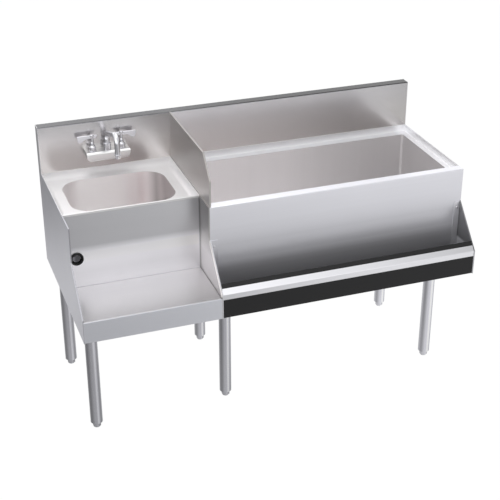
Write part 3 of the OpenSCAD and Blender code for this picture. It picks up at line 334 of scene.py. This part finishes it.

# %% [markdown]
# Most sheets get a steel of their own, because each one mirrors something else, and what it mirrors
# is painted into its tone as painted shading. Its stops are in metres in the station's frame, so a stop
# can be found by measuring the sheet. Two stops close together paint the dark and bright lines at folds
# and the shade in corners, and a mask keeps painted shading to one side of a bend.

# %% The steel of each sheet
# painted light: the bin's rim lighter at its right end
steel_flat = brushed_steel(
    "steel_brushed_along", 0.8, "x", 0.42, blue=0.02, metallic=0.8,
    painted_shading=[("X", [(-0.2, 1.0), (0.64, 1.0), (0.66, 1.12), (0.686, 1.12)])])
# painted reflection: the lip's upper facet darker to the right, the band below it lighter to the right
steel_lip = brushed_steel(
    "steel_rail_lip", 0.84, "x", 0.28,
    painted_shading=[("X", [(-0.229, 0.96), (0.1, 0.95), (0.35, 0.93), (0.69, 0.8)], ("Z", 0.518, 0.522)),
            ("X", [(-0.229, 0.93), (0.1, 1.05), (0.4, 1.12), (0.69, 1.04)], ("Z", 0.522, 0.518))])
# painted light and shade: the front edge darker, the faucet's shade behind the bowl lifted, lighter at the
# left end
steel_deck = brushed_steel(
    "steel_deck", 0.8, "x", 0.5, warm=0.01, blue=0.025,
    metallic=("Y", [(-0.08, 0.7), (0.12, 0.6), (0.19, 0.15), (0.27, 0.1)]),
    painted_shading=[("Y", [(-0.1, 0.9), (-0.06, 1.1), (0.1, 1.05), (0.19, 1.08), (0.26, 1.08)]),
            ("X", [(-0.686, 0.95), (-0.6, 1.02), (-0.53, 1.15), (-0.42, 1.15), (-0.36, 1.04),
                   (-0.23, 1.0)], ("Y", 0.19, 0.22)),
            ("X", [(-0.686, 1.05), (-0.6, 1.0), (-0.23, 0.95)])])
# painted reflection of the shelf: lighter low down; painted shade: a dark line in the corner by the sink's
# side panel
steel_riser = brushed_steel(
    "steel_riser", 0.65, "x", 0.3,
    painted_shading=[("Z", [(0.5, 1.14), (0.56, 1.25), (0.6, 1.5), (0.632, 1.5), (0.655, 0.98), (0.75, 1.0)]),
            ("X", [(-0.686, 1.0), (-0.234, 1.02), (-0.2326, 0.5), (-0.2301, 0.45)])])
# painted reflection and shade: the apron's face a cooler grey, the shelf's floor darker than the apron and
# darker to the front, with painted shade in its corner by the sink's side panel
steel_tray = brushed_steel(
    "steel_tray", 0.75, "x", 0.36, warm=0.012,
    painted_shading=[("Y", [(-0.3048, (0.96, 0.985, 1.03)), (-0.3036, (0.96, 0.985, 1.03)),
                   (-0.3028, (1.0, 0.99, 0.98)), (-0.07, (1.0, 0.99, 0.98))]),
            ("Z", [(0.49, 1.02), (0.5055, 1.02), (0.5075, 0.85), (0.53, 0.85)]),
            ("Y", [(-0.302, 0.72), (-0.08, 1.12)], ("Z", 0.5055, 0.5075)),
            ("X", [(-0.45, 1.0), (-0.2342, 0.9), (-0.2328, 0.5), (-0.2301, 0.45)],
             ("Z", 0.5055, 0.5075))])
# painted reflection: the front darker at its foot, where it mirrors the black rail, with a bright band
# above that
steel_front = brushed_steel(
    "steel_bin_front", 0.78, "x", 0.36, blue=0.06,
    painted_shading=[("Z", [(0.53, 0.6), (0.548, 0.72), (0.572, 1.08), (0.6, 1.1), (0.635, 0.92), (0.66, 0.97),
                   (0.7, 1.03), (0.77, 1.08)])],
    metallic=("Z", [(0.53, 0.15), (0.57, 0.3), (0.64, 0.9), (0.775, 0.95)]))
steel_ends = brushed_steel("steel_brushed_deep", 0.72, "y", 0.32)
# painted shade: every face but the outermost darker, so the hem's edge stays dim
steel_left = brushed_steel(
    "steel_left_end", 0.73, "y", 0.32, blue=0.08,
    painted_shading=[("X", [(-0.6858, 1.0), (-0.6855, 1.0), (-0.6852, 0.6), (-0.67, 0.6)])])
rail_metal = ("Z", [(0.53, 0.15), (0.57, 0.3), (0.64, 0.75), (0.66, 0.9)])
# painted reflection: darker low down, by the black rail; painted shade in a narrow band at its right end,
# level with the lip
steel_wing = brushed_steel(
    "steel_rail_end", 0.78, "y", 0.36, blue=0.05, metallic=rail_metal,
    painted_shading=[("Z", [(0.53, 0.75), (0.57, 0.95), (0.61, 1.1), (0.66, 1.05)]),
            ("X", [(0.675, 1.0), (0.6812, 1.0), (0.6816, 0.35), (0.686, 0.35)], ("Z", 0.516, 0.524))])
# painted light: the plate lighter all over, and lightest on its outer edge
steel_plate = brushed_steel(
    "steel_rail_plate", 0.62, "y", 0.34, blue=0.06, metallic=rail_metal,
    painted_shading=[("X", [(-0.229, 1.5), (-0.2264, 1.5), (-0.2258, 1.2), (-0.2, 1.2)])])
# painted shade: darker towards the top and towards the back
steel_divider = brushed_steel(
    "steel_divider", 0.75, "y", 0.38, warm=0.04,
    painted_shading=[("Z", [(0.775, 0.78), (0.94, 0.54)]), ("Y", [(-0.18, 0.95), (0.27, 0.8)])])
# painted shade and reflection: a dark line at the foot by the shelf, lightest above it, and darker towards
# the top
steel_side = brushed_steel(
    "steel_sink_side", 0.73, "y", 0.34, warm=0.03,
    painted_shading=[("Z", [(0.508, 0.8), (0.512, 1.0), (0.6, 1.12), (0.67, 0.68), (0.7, 0.6), (0.76, 0.46)])])
# painted reflection: the bowl light at the left, with dark bands towards the right
steel_bowl = brushed_steel(
    "steel_bowl", 0.98, "z", 0.5, warm=0.03, metallic=0.78,
    painted_shading=[("X", [(-0.62, (1.1, 1.06, 1.07)), (-0.42, (1.08, 1.04, 1.05)), (-0.35, (1.0, 0.96, 0.97)),
                   (-0.325, (0.83, 0.8, 0.81)), (-0.3, (0.48, 0.46, 0.465)),
                   (-0.288, (0.61, 0.585, 0.59)), (-0.27, (0.46, 0.44, 0.445))])])
# painted light: the liner and strainer lighter to the left and darker to the right
steel_drawn = brushed_steel(
    "steel_drawn", 0.86, "z", 0.45, warm=0.022, metallic=0.88,
    painted_shading=[("X", [(-0.22, 1.12), (0.2, 1.06), (0.6, 0.86), (0.66, 0.84), (0.67, 0.7)])])
# painted shade and reflection: a warmer foot and cooler top, a dark top return, and the face darker to the
# right
steel_splash = brushed_steel(
    "steel_backsplash", 0.8, "x", 0.24, warm=0.033,
    painted_shading=[("Z", [(0.76, (1.01, 1.0, 0.99)), (0.84, (1.0, 1.0, 1.0)), (0.94, (0.97, 0.985, 1.02))]),
            ("Z", [(0.93, 1.0), (0.9362, 1.0), (0.9385, 0.145), (0.942, 0.145)]),
            ("X", [(-0.686, (0.97, 0.98, 1.03)), (-0.25, (0.78, 0.8, 0.83)), (0.0, (0.5, 0.51, 0.53)),
                   (0.3, (0.44, 0.45, 0.47)), (0.6, (0.66, 0.67, 0.69))], ("Z", 0.9362, 0.9385)),
            ("X", [(-0.686, 0.9), (-0.45, 0.82), (-0.3, 0.88), (-0.22, 1.05), (-0.1, 0.94), (0.3, 0.9),
                   (0.5, 0.8), (0.686, 0.64)])])


def dress(material, *names):
    for name in names:
        mesh = nodes[name].data
        if mesh.materials:
            for i in range(len(mesh.materials)):
                mesh.materials[i] = material
        else:
            mesh.materials.append(material)
    print(material.name, "on", len(names), "nodes")


dress(steel_flat, "bin_rim")
dress(steel_lip, "rail_lip")
dress(steel_left, "left_end_panel")
dress(steel_wing, "rail_right_end")
dress(steel_plate, "rail_left_end")
dress(steel_deck, "sink_deck")
dress(steel_riser, "riser_panel")
dress(steel_tray, "lower_shelf")
dress(steel_front, "bin_front_panel")
dress(steel_splash, "backsplash")
dress(steel_divider, "divider_splash")
dress(steel_side, "sink_right_panel")
dress(steel_ends, "left_splash_cap", "right_splash_cap", "bin_left_panel", "bin_right_panel",
      "left_leg_channel", "bin_back_panel", "bin_bottom_panel", "rail_screws")
dress(steel_bowl, "sink_bowl")
dress(steel_drawn, "bin_liner", "bin_drain_strainer")

# %% [markdown]
# The legs are welded tube with a satin finish, brushed along the tube, and a shade darker. A tube
# mirrors the whole room in narrow stripes, and those reflections are painted in: its tone goes by
# which way each face is turned, and the legs on the right are painted lighter.

# %% Leg tube
leg_satin = brushed_steel(
    "leg_satin", 0.64, "z", 0.28, blue=0.07, bump_depth=0.0001,
    painted_shading=[("X", [(-0.65, 0.94), (-0.16, 1.0), (0.63, 1.2)])],
    painted_stripes=[(0.0, 0.75), (0.03, 0.55), (0.1, 0.5), (0.2, 0.76), (0.3, 1.0), (0.4, 1.0), (0.48, 1.1),
            (0.55, 1.6), (0.63, 1.55), (0.7, 1.1), (0.8, 0.66), (0.86, 0.8), (0.93, 1.05), (1.0, 1.0)])
dress(leg_satin, "leg_gussets", "foot_sockets", "bin_drain_pipe",
      *[n for n in nodes if n.endswith("_leg") or n.endswith("_foot")])

# %% [markdown]
# Plating is mostly smoother than sheet, and its scratches are a sixth as deep. Turned pieces get painted
# reflection stripes, like those a polished cylinder shows. Powder coat and rubber are both near black: the
# coat has a grain about a millimetre wide, and the rubber is rougher, so its highlights are broad and
# dull.

# %% Plating, brass, coating, rubber and foam
CHROME_BUMP = 0.00005


def plated(name, colour, roughness):
    material = new_material(name)
    tree = material.node_tree
    spots = noise(tree, object_place(tree), 90.0, 4.0)
    tint = remap(tree, spots, *NOISE_RANGE, 0.94, 1.03)
    shown = mix_colours(tree, 1.0, (*colour, 1), tint, "MULTIPLY")
    gloss = remap(tree, spots, *NOISE_RANGE, roughness, roughness + 0.05)
    metal = add_node(tree, "ShaderNodeBsdfPrincipled", Base_Color=shown, Metallic=1.0, Roughness=gloss)
    add_node(tree, "ShaderNodeOutputMaterial", Surface=metal.outputs[0])
    return material


def coated(name, colour, roughness, grain_scale, grain_depth, specular):
    material = new_material(name)
    tree = material.node_tree
    grain = noise(tree, object_place(tree), grain_scale, 4.0)
    tint = remap(tree, grain, *NOISE_RANGE, 0.8, 1.2)
    shown = mix_colours(tree, 1.0, (*colour, 1), tint, "MULTIPLY")
    bump = add_node(tree, "ShaderNodeBump", Height=grain, Strength=0.25, Distance=grain_depth).outputs[0]
    coat = add_node(tree, "ShaderNodeBsdfPrincipled", Base_Color=shown, Roughness=roughness, Normal=bump,
                    Specular_IOR_Level=specular)
    add_node(tree, "ShaderNodeOutputMaterial", Surface=coat.outputs[0])
    return material


chrome = brushed_steel("chrome_plate", 0.8, "z", 0.16, blue=0.03, metallic=1.0, bump_depth=CHROME_BUMP)
chrome_blade = brushed_steel("chrome_lever", 0.86, "x", 0.32, blue=0.05, metallic=0.8,
                             bump_depth=CHROME_BUMP)
# painted reflection stripes on the turned pieces, by which way each face is turned
chrome_turned = brushed_steel(
    "chrome_turned", 0.84, "x", 0.22, blue=0.05, metallic=1.0, bump_depth=CHROME_BUMP,
    painted_stripes=[(0.0, 0.6), (0.04, 0.45), (0.12, 0.52), (0.25, 0.8), (0.4, 0.7), (0.5, 0.78), (0.62, 1.0),
            (0.75, 1.2), (0.85, 0.75), (0.95, 0.5), (1.0, 0.55)])
# painted light and shade: bright and dark bands by height, its top darker behind the front edge, and
# painted shade down its left side
chrome_body = brushed_steel(
    "chrome_faucet_body", 0.8, "x", 0.32, blue=0.0, metallic=0.95, bump_depth=CHROME_BUMP,
    painted_shading=[("Z", [(0.81, 0.75), (0.815, 0.98), (0.822, 1.18), (0.834, 1.22), (0.839, 0.95),
                   (0.8425, 0.85), (0.8433, 0.9)]),
            ("Y", [(0.223, 1.0), (0.227, 1.0), (0.231, 0.85), (0.267, 0.95)], ("Z", 0.8428, 0.8432)),
            ("X", [(-0.5334, 0.45), (-0.5325, 0.45), (-0.5315, 1.0), (-0.45, 1.0), (-0.381, 0.9)])])
brass = plated("turned_brass", (0.78, 0.6, 0.3), 0.22)
powder_coat = coated("black_powder_coat", (0.0158, 0.0158, 0.0168), 0.42, 900, 0.00006, 0.3)
rubber = coated("black_rubber", (0.016, 0.016, 0.016), 0.6, 500, 0.0001, 0.35)
foam = coated("insulating_foam", (0.8, 0.7, 0.42), 0.9, 160, 0.0012, 0.2)
dress(chrome, "drain_body", "drain_strainer", "tailpiece", "hot_handle_screw", "cold_handle_screw")
dress(chrome_turned, "hot_valve", "cold_valve", "spout_nut", "hot_stem", "cold_stem", "spout", "aerator",
      "hot_handle", "cold_handle")
dress(chrome_body, "faucet_body")
dress(brass, "drain_locknut", "faucet_shanks", "shank_nuts")
dress(powder_coat, "rail_trough")
dress(rubber, "drain_gasket", "cord_grommet")
dress(foam, "bin_insulation")
print("materials:", len(bpy.data.materials))

# %% [markdown]
# Some small pieces deserve a mesh of their own. Each is begun from a circle, a profile or an outline,
# and spin, extrude and bevel do the rest. One helper finishes them all: it merges doubled points,
# turns the faces outwards, shades the soft edges smooth, and tells the frame which body carries it.

# %% Helpers for small pieces
MM = 0.001                         # profiles and outlines are written in millimetres
MERGE_DISTANCE = 0.00001
SOFT_BELOW = math.radians(35)      # an edge that bends less than this is shaded smooth
TURN_STEPS = 48


def finish_piece(name, mesh_edit, body, materials, replaced=()):
    bmesh.ops.remove_doubles(mesh_edit, verts=mesh_edit.verts, dist=MERGE_DISTANCE)
    bmesh.ops.recalc_face_normals(mesh_edit, faces=mesh_edit.faces)
    for face in mesh_edit.faces:
        face.smooth = True
    for edge in mesh_edit.edges:
        beside_a_flat = any(len(face.verts) > 4 for face in edge.link_faces)
        edge.smooth = not beside_a_flat and edge.calc_face_angle(0) < SOFT_BELOW
    mesh = bpy.data.meshes.new(name)
    mesh_edit.to_mesh(mesh)
    mesh_edit.free()
    for material in materials:
        mesh.materials.append(material)
    piece = bpy.data.objects.new(name, mesh)
    bpy.context.scene.collection.objects.link(piece)
    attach(piece, body)
    if replaced:
        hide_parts(*replaced)
    print(name, "faces:", len(mesh.polygons))


def points_of(geom):
    return [g for g in geom if isinstance(g, bmesh.types.BMVert)]


def edges_of(geom):
    return [g for g in geom if isinstance(g, bmesh.types.BMEdge)]


def open_edges_of(geom):
    return [edge for edge in edges_of(geom) if len(edge.link_faces) == 1]


def edges_at(points):
    """The edges at these points, each once and always in the same order."""
    return list(dict.fromkeys(edge for point in points for edge in point.link_edges))


def middle_of(lo, hi):
    return [(a + b) / 2 for a, b in zip(lo, hi)]


def circle_at(mesh_edit, segments, radius, centre):
    """A circle of points; the radius is in millimetres and the centre in metres."""
    return bmesh.ops.create_circle(mesh_edit, segments=segments, radius=radius * MM,
                                   matrix=Matrix.Translation(centre))["verts"]


def hexagon_radius(flats):
    """The radius of the corners of a hexagon, from the distance across its flats."""
    return flats / 2 / math.cos(math.pi / 6)


def extrude_faces(mesh_edit, faces, vec, keep=False):
    """Carry faces along and return what was made; with keep, the first face stays as the other end."""
    made = bmesh.ops.extrude_face_region(mesh_edit, geom=faces, use_keep_orig=keep)["geom"]
    bmesh.ops.translate(mesh_edit, verts=points_of(made), vec=vec)
    return made


def bevel_edges(mesh_edit, edges, offset, segments):
    bmesh.ops.bevel(mesh_edit, geom=edges, offset=offset * MM, segments=segments, profile=0.5,
                    affect="EDGES", material=-1)


def turned(mesh_edit, profile, centre):
    """Spin a closed profile of (radius, height) in millimetres round an upright axis."""
    x, y, z = centre
    dots = [mesh_edit.verts.new((x + r * MM, y, z + h * MM)) for r, h in profile]
    edges = [mesh_edit.edges.new(pair) for pair in zip(dots, dots[1:] + dots[:1])]
    bmesh.ops.spin(mesh_edit, geom=dots + edges, cent=centre, axis=(0, 0, 1), angle=2 * math.pi,
                   steps=TURN_STEPS, use_merge=True)


def arc(across, up, radius, start, end, steps):
    """Points on an arc round (across, up), from one angle to another in degrees."""
    angles = [math.radians(start + (end - start) * i / steps) for i in range(steps + 1)]
    return [(across + radius * math.cos(a), up + radius * math.sin(a)) for a in angles]


print("helpers for small pieces are ready")

# %% [markdown]
# A lever handle is a small casting: a waisted hub that drops over the valve's stem, and a flat paddle
# through its top. The hub is a lathe shape, so a profile is spun. The paddle is an outline filled with
# one face, extruded to its thickness, then bevelled all round, because plated edges are never sharp.

# %% Lever handles
LEVER_TAIL, LEVER_REACH = 18.5, 50.5        # from the hub's axis to the two ends of the paddle
LEVER_NECK, LEVER_DEPTH = 11.4, 22.8        # height of the paddle at the hub and at its square end
LEVER_T = 5.0
LEVER_ROUND = 0.7
BLADE_DROP = 2.3                            # from the top of the CAD handle to the paddle
SWELL_START, SWELL_RUN, SWELL_STEPS = 18, 24, 12
hub_profile = [(4.1, 0), (6.4, 0), (6.9, 0.6), (6.9, 1.6), (5.6, 4.5), (5.0, 9), (4.9, 20), (5.4, 23.5),
               (6.9, 25.5), (7.3, 26.4), (7.3, 29.6), (6.6, 31), (5.4, 31.5), (3.6, 31.5), (3.6, 28.5),
               (2.2, 28.5), (2.2, 23.8), (4.1, 23.8)]


def paddle_outline():
    """Seen from the front: a neck beside the hub, swelling to a blade with a square end."""
    swell = []
    for i in range(1, SWELL_STEPS + 1):
        share = (1 + math.cos(math.pi * i / SWELL_STEPS)) / 2
        swell.append((SWELL_START + SWELL_RUN * (1 - i / SWELL_STEPS),
                      -(LEVER_NECK + (LEVER_DEPTH - LEVER_NECK) * share)))
    top_corner = arc(LEVER_REACH - 1.5, -1.5, 1.5, 90, 0, 3)
    low_corner = arc(LEVER_REACH - 7.5, -LEVER_DEPTH + 6, 6, 0, -90, 6)
    tail_end = arc(-LEVER_TAIL + 3, -3, 3, 210, 90, 4)[:-1]
    return ([(-LEVER_TAIL + 3, 0)] + top_corner + low_corner + swell
            + [(-LEVER_TAIL + 7, -LEVER_NECK + 0.6)] + tail_end)


def lever_handle(name, node, body, side):
    lo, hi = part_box(node)
    axis_x = hi[0] - LEVER_TAIL * MM if side < 0 else lo[0] + LEVER_TAIL * MM
    axis_y = middle_of(lo, hi)[1]
    blade_top = hi[2] - BLADE_DROP * MM
    work = bmesh.new()
    turned(work, hub_profile, (axis_x, axis_y, lo[2]))
    outline = [work.verts.new((axis_x + side * u * MM, axis_y + LEVER_T / 2 * MM, blade_top + z * MM))
               for u, z in paddle_outline()]
    grown = extrude_faces(work, [work.faces.new(outline)], (0, -LEVER_T * MM, 0))
    blade_faces = {face for point in outline for face in point.link_faces}
    blade_faces.update(g for g in grown if isinstance(g, bmesh.types.BMFace))
    for face in blade_faces:
        face.material_index = 1
    rims = [e for e in work.edges if len(e.link_faces) == 2 and all(f in blade_faces for f in e.link_faces)
            and sum(len(f.verts) > 4 for f in e.link_faces) == 1]
    bevel_edges(work, rims, LEVER_ROUND, 3)
    finish_piece(name, work, body, [chrome_turned, chrome_blade], [node])


lever_handle("hot_lever_casting", "hot_handle", "hot_lever", -1)
lever_handle("cold_lever_casting", "cold_handle", "cold_lever", 1)

# %% [markdown]
# The spout is one tube bent twice. A circle of points is spun through each bend and extruded along
# each straight, so every section keeps its true round, which a swept CAD mesh only approximates.

# %% Spout
SPOUT_R, LOW_R, HIGH_R = 9.0, 19.0, 24.0      # the tube, and the middle line of its two bends
SLOPE = 18.0                                  # degrees by which the arm climbs
REACH, DROP = 153.7, 33.0                     # from the swivel to the tip, and down at the tip
NECK_H = 19                                   # from the nut to the first bend
BEND_STEPS = 16

spout_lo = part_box("spout")[0]
nut_lo, nut_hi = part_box("spout_nut")
spout_x, spout_y, _ = middle_of(nut_lo, nut_hi)
bend_z = nut_hi[2] + NECK_H * MM
swivel = (spout_x, spout_y, bend_z)
slope = math.radians(SLOPE)


def run_on(work, ring, move):
    """Carry a ring of edges along a straight."""
    made = bmesh.ops.extrude_edge_only(work, edges=ring)["geom"]
    bmesh.ops.translate(work, verts=points_of(made), vec=move)
    return open_edges_of(made)


def bend_on(work, ring, centre, degrees):
    """Carry a ring of edges round a bend."""
    made = bmesh.ops.spin(work, geom=ring, cent=centre, axis=(1, 0, 0), angle=math.radians(degrees),
                          steps=BEND_STEPS)
    return edges_of(made["geom_last"])


work = bmesh.new()
ring = edges_at(circle_at(work, 40, SPOUT_R, swivel))
bmesh.ops.contextual_create(work, geom=ring)
ring = bend_on(work, ring, (spout_x, spout_y - LOW_R * MM, bend_z), 90 - SLOPE)
out_low = LOW_R * (1 - math.sin(slope))
up_low = LOW_R * math.cos(slope)
arm_run = REACH - out_low - HIGH_R * (1 + math.sin(slope))
arm_rise = arm_run * math.tan(slope)
ring = run_on(work, ring, (0, -arm_run * MM, arm_rise * MM))
high_centre = (spout_x, spout_y - (out_low + arm_run + HIGH_R * math.sin(slope)) * MM,
               bend_z + (up_low + arm_rise - HIGH_R * math.cos(slope)) * MM)
ring = bend_on(work, ring, high_centre, 90 + SLOPE)
ring = run_on(work, ring, (0, 0, -DROP * MM))
bmesh.ops.contextual_create(work, geom=ring)
collar = [(6.5, -19), (9.0, -19), (9.5, -18.5), (9.5, 0.4), (9.1, 1), (6.5, 1)]
spigot_end = (spout_lo[2] - bend_z) / MM
spigot = [(6.5, spigot_end), (8, spigot_end), (8, -18.6), (6.5, -18.6)]
turned(work, collar, swivel)
turned(work, spigot, swivel)
finish_piece("spout_tube", work, "swivel_spout", [chrome_turned], ["spout"])

# %% [markdown]
# The aerator screws into the spout's end. Its collar is turned, its key flats are a six-sided circle
# extruded down, and the screen in its mouth is a grid whose edges become wires.

# %% Aerator
WATERWAY_R, KEY_FLATS, KEY_TOP, KEY_H = 5.9, 16.6, -4.4, 10.6
SCREEN_CELLS, SCREEN_HALF, SCREEN_LIFT, WIRE = 14, 6.4, 1.2, 0.3

tip_lo, tip_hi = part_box("aerator")
tip_x, tip_y, _ = middle_of(tip_lo, tip_hi)
tip = (tip_x, tip_y, tip_hi[2] - 5 * MM)
key_at = (tip_x, tip_y, tip[2] + KEY_TOP * MM)
work = bmesh.new()
turned(work, [(WATERWAY_R, 5), (7.4, 5), (7.4, 0), (10.6, 0), (11.2, -0.6), (11.2, -3.9), (10.6, -4.5),
              (WATERWAY_R, -4.5)], tip)
key_edges = edges_at(circle_at(work, 6, hexagon_radius(KEY_FLATS), key_at)
                     + circle_at(work, 24, WATERWAY_R, key_at))
key_face = bmesh.ops.bridge_loops(work, edges=key_edges)["faces"]
extrude_faces(work, key_face, (0, 0, -KEY_H * MM), keep=True)
finish_piece("aerator_body", work, "swivel_spout", [chrome_turned], ["aerator"])

work = bmesh.new()
screen_at = Matrix.Translation((tip_x, tip_y, tip_lo[2] + SCREEN_LIFT * MM))
bmesh.ops.create_grid(work, x_segments=SCREEN_CELLS, y_segments=SCREEN_CELLS, size=SCREEN_HALF * MM,
                      matrix=screen_at)
outside = [v for v in work.verts if math.hypot(v.co.x - tip_x, v.co.y - tip_y) > WATERWAY_R * MM]
bmesh.ops.delete(work, geom=outside, context="VERTS")
bmesh.ops.wireframe(work, faces=work.faces, thickness=WIRE * MM, use_replace=True, use_boundary=True,
                    use_even_offset=True)
finish_piece("aerator_screen", work, "swivel_spout", [chrome])

# %% [markdown]
# Each leg stands on a hexagonal foot with a threaded stem, so the station can be levelled. The thread
# is a short profile of one pitch, spun many turns while it climbs one pitch a turn; neighbouring turns
# meet and are merged. It is begun too low and ended too high, and two cuts square its ends. It shows
# when a foot is wound out.

# %% Levelling feet
HEX_FLATS, HEX_TOP, SOLE_H = 25.4, 20.5, 4.0
PITCH, STEM_R, STEM_SUNK = 2.0, 8.0, 1.5      # the stem starts a little inside the hexagon
CORNER_ROUND, RIM_ROUND = 1.2, 0.6
THREAD_STEPS = 24                             # to a turn
STEM_ABOVE = 6                                # no point of the sole is as high as this
THREAD_MERGE = 0.00002
CUT_DISTANCE = 0.000001
thread_profile = [(7.1, 0), (7.95, 0.85), (7.95, 1.15), (7.1, 2.0)]
sole_profile = [(0.5, 0), (9.6, 0), (10.4, 0.5), (12.4, 3.6), (12.4, 4.2), (0.5, 4.2)]


def rise_of(edge):
    return abs(edge.verts[0].co.z - edge.verts[1].co.z)


def stem_points(work, centre):
    return [v for v in work.verts if v.co.z > STEM_ABOVE * MM
            and math.hypot(v.co.x - centre[0], v.co.y - centre[1]) < (STEM_R + 0.1) * MM]


def square_off(work, centre, height, up):
    """Cut the stem level at a height (metres), throw away what is beyond, and close the cut."""
    points = stem_points(work, centre)
    inside = set(points)
    geom = points + [e for e in work.edges if all(v in inside for v in e.verts)] + [
        f for f in work.faces if all(v in inside for v in f.verts)]
    cut = bmesh.ops.bisect_plane(work, geom=geom, dist=CUT_DISTANCE, plane_co=(0, 0, height),
                                 plane_no=(0, 0, up), clear_outer=True)["geom_cut"]
    bmesh.ops.holes_fill(work, edges=open_edges_of(cut))


def levelling_foot(name, node):
    lo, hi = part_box(node)
    middle_x, middle_y, _ = middle_of(lo, hi)
    centre = (middle_x, middle_y, lo[2])
    work = bmesh.new()
    hexagon = circle_at(work, 6, hexagon_radius(HEX_FLATS), (middle_x, middle_y, SOLE_H * MM))
    face = bmesh.ops.contextual_create(work, geom=edges_at(hexagon))["faces"]
    extrude_faces(work, face, (0, 0, (HEX_TOP - SOLE_H) * MM), keep=True)
    bevel_edges(work, [e for e in work.edges if rise_of(e) > 0.01], CORNER_ROUND, 3)
    bevel_edges(work, [e for e in work.edges if rise_of(e) < 0.0001], RIM_ROUND, 2)
    turned(work, sole_profile, centre)

    stem_foot = HEX_TOP - STEM_SUNK
    turns = int((hi[2] / MM - HEX_TOP) / PITCH) + 3
    thread_start = stem_foot - 2 * PITCH
    dots = [work.verts.new((middle_x + r * MM, middle_y, (thread_start + z) * MM))
            for r, z in thread_profile]
    edges = [work.edges.new(pair) for pair in zip(dots, dots[1:])]
    bmesh.ops.spin(work, geom=dots + edges, cent=centre, axis=(0, 0, 1),
                   dvec=(0, 0, PITCH / THREAD_STEPS * MM), angle=2 * math.pi * turns,
                   steps=THREAD_STEPS * turns)
    bmesh.ops.remove_doubles(work, verts=stem_points(work, centre), dist=THREAD_MERGE)
    square_off(work, centre, stem_foot * MM, -1)
    square_off(work, centre, hi[2], 1)
    finish_piece(name, work, node, [leg_satin], [node])


for node in [n for n in nodes if n.endswith("_foot")]:
    levelling_foot(node.replace("_foot", "_levelling_foot"), node)

# %% [markdown]
# The grommet lines the hole that a cord passes through: soft rubber, with a rounded lip before the
# steel and a plain one behind it, and a mouth that flares towards the front. It is one closed profile.
# It is spun upright, then tipped forward, so that its axis points out of the panel.

# %% Grommet
BORE_R = 13.97
GROOVE_R = 17.9                               # the steel's edge sits in this groove
ring_lo, ring_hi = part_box("cord_grommet")
ring_middle = middle_of(ring_lo, ring_hi)
ring_at = Vector((ring_middle[0], ring_lo[1], ring_middle[2]))
depth = (ring_hi[1] - ring_lo[1]) / MM
front_lip = arc(19.0, -3.2, 3.2, 180, 0, 8) + [(22.0, -5.6), (21.6, -6.35)]
back_lip = [(20.2, -7.95), (20.7, -9), (20.7, -depth + 1), (19.6, -depth)]
bore = [(BORE_R + 0.6, -depth), (BORE_R, -depth + 0.6), (BORE_R, -6.8), (BORE_R + 0.6, -5.6)]

work = bmesh.new()
turned(work, front_lip + [(GROOVE_R, -6.35), (GROOVE_R, -7.95)] + back_lip + bore, (0, 0, 0))
bmesh.ops.rotate(work, verts=work.verts, cent=(0, 0, 0), matrix=Matrix.Rotation(math.radians(90), 3, "X"))
bmesh.ops.translate(work, verts=work.verts, vec=ring_at)
finish_piece("cord_grommet_ring", work, "root", [rubber], ["cord_grommet"])
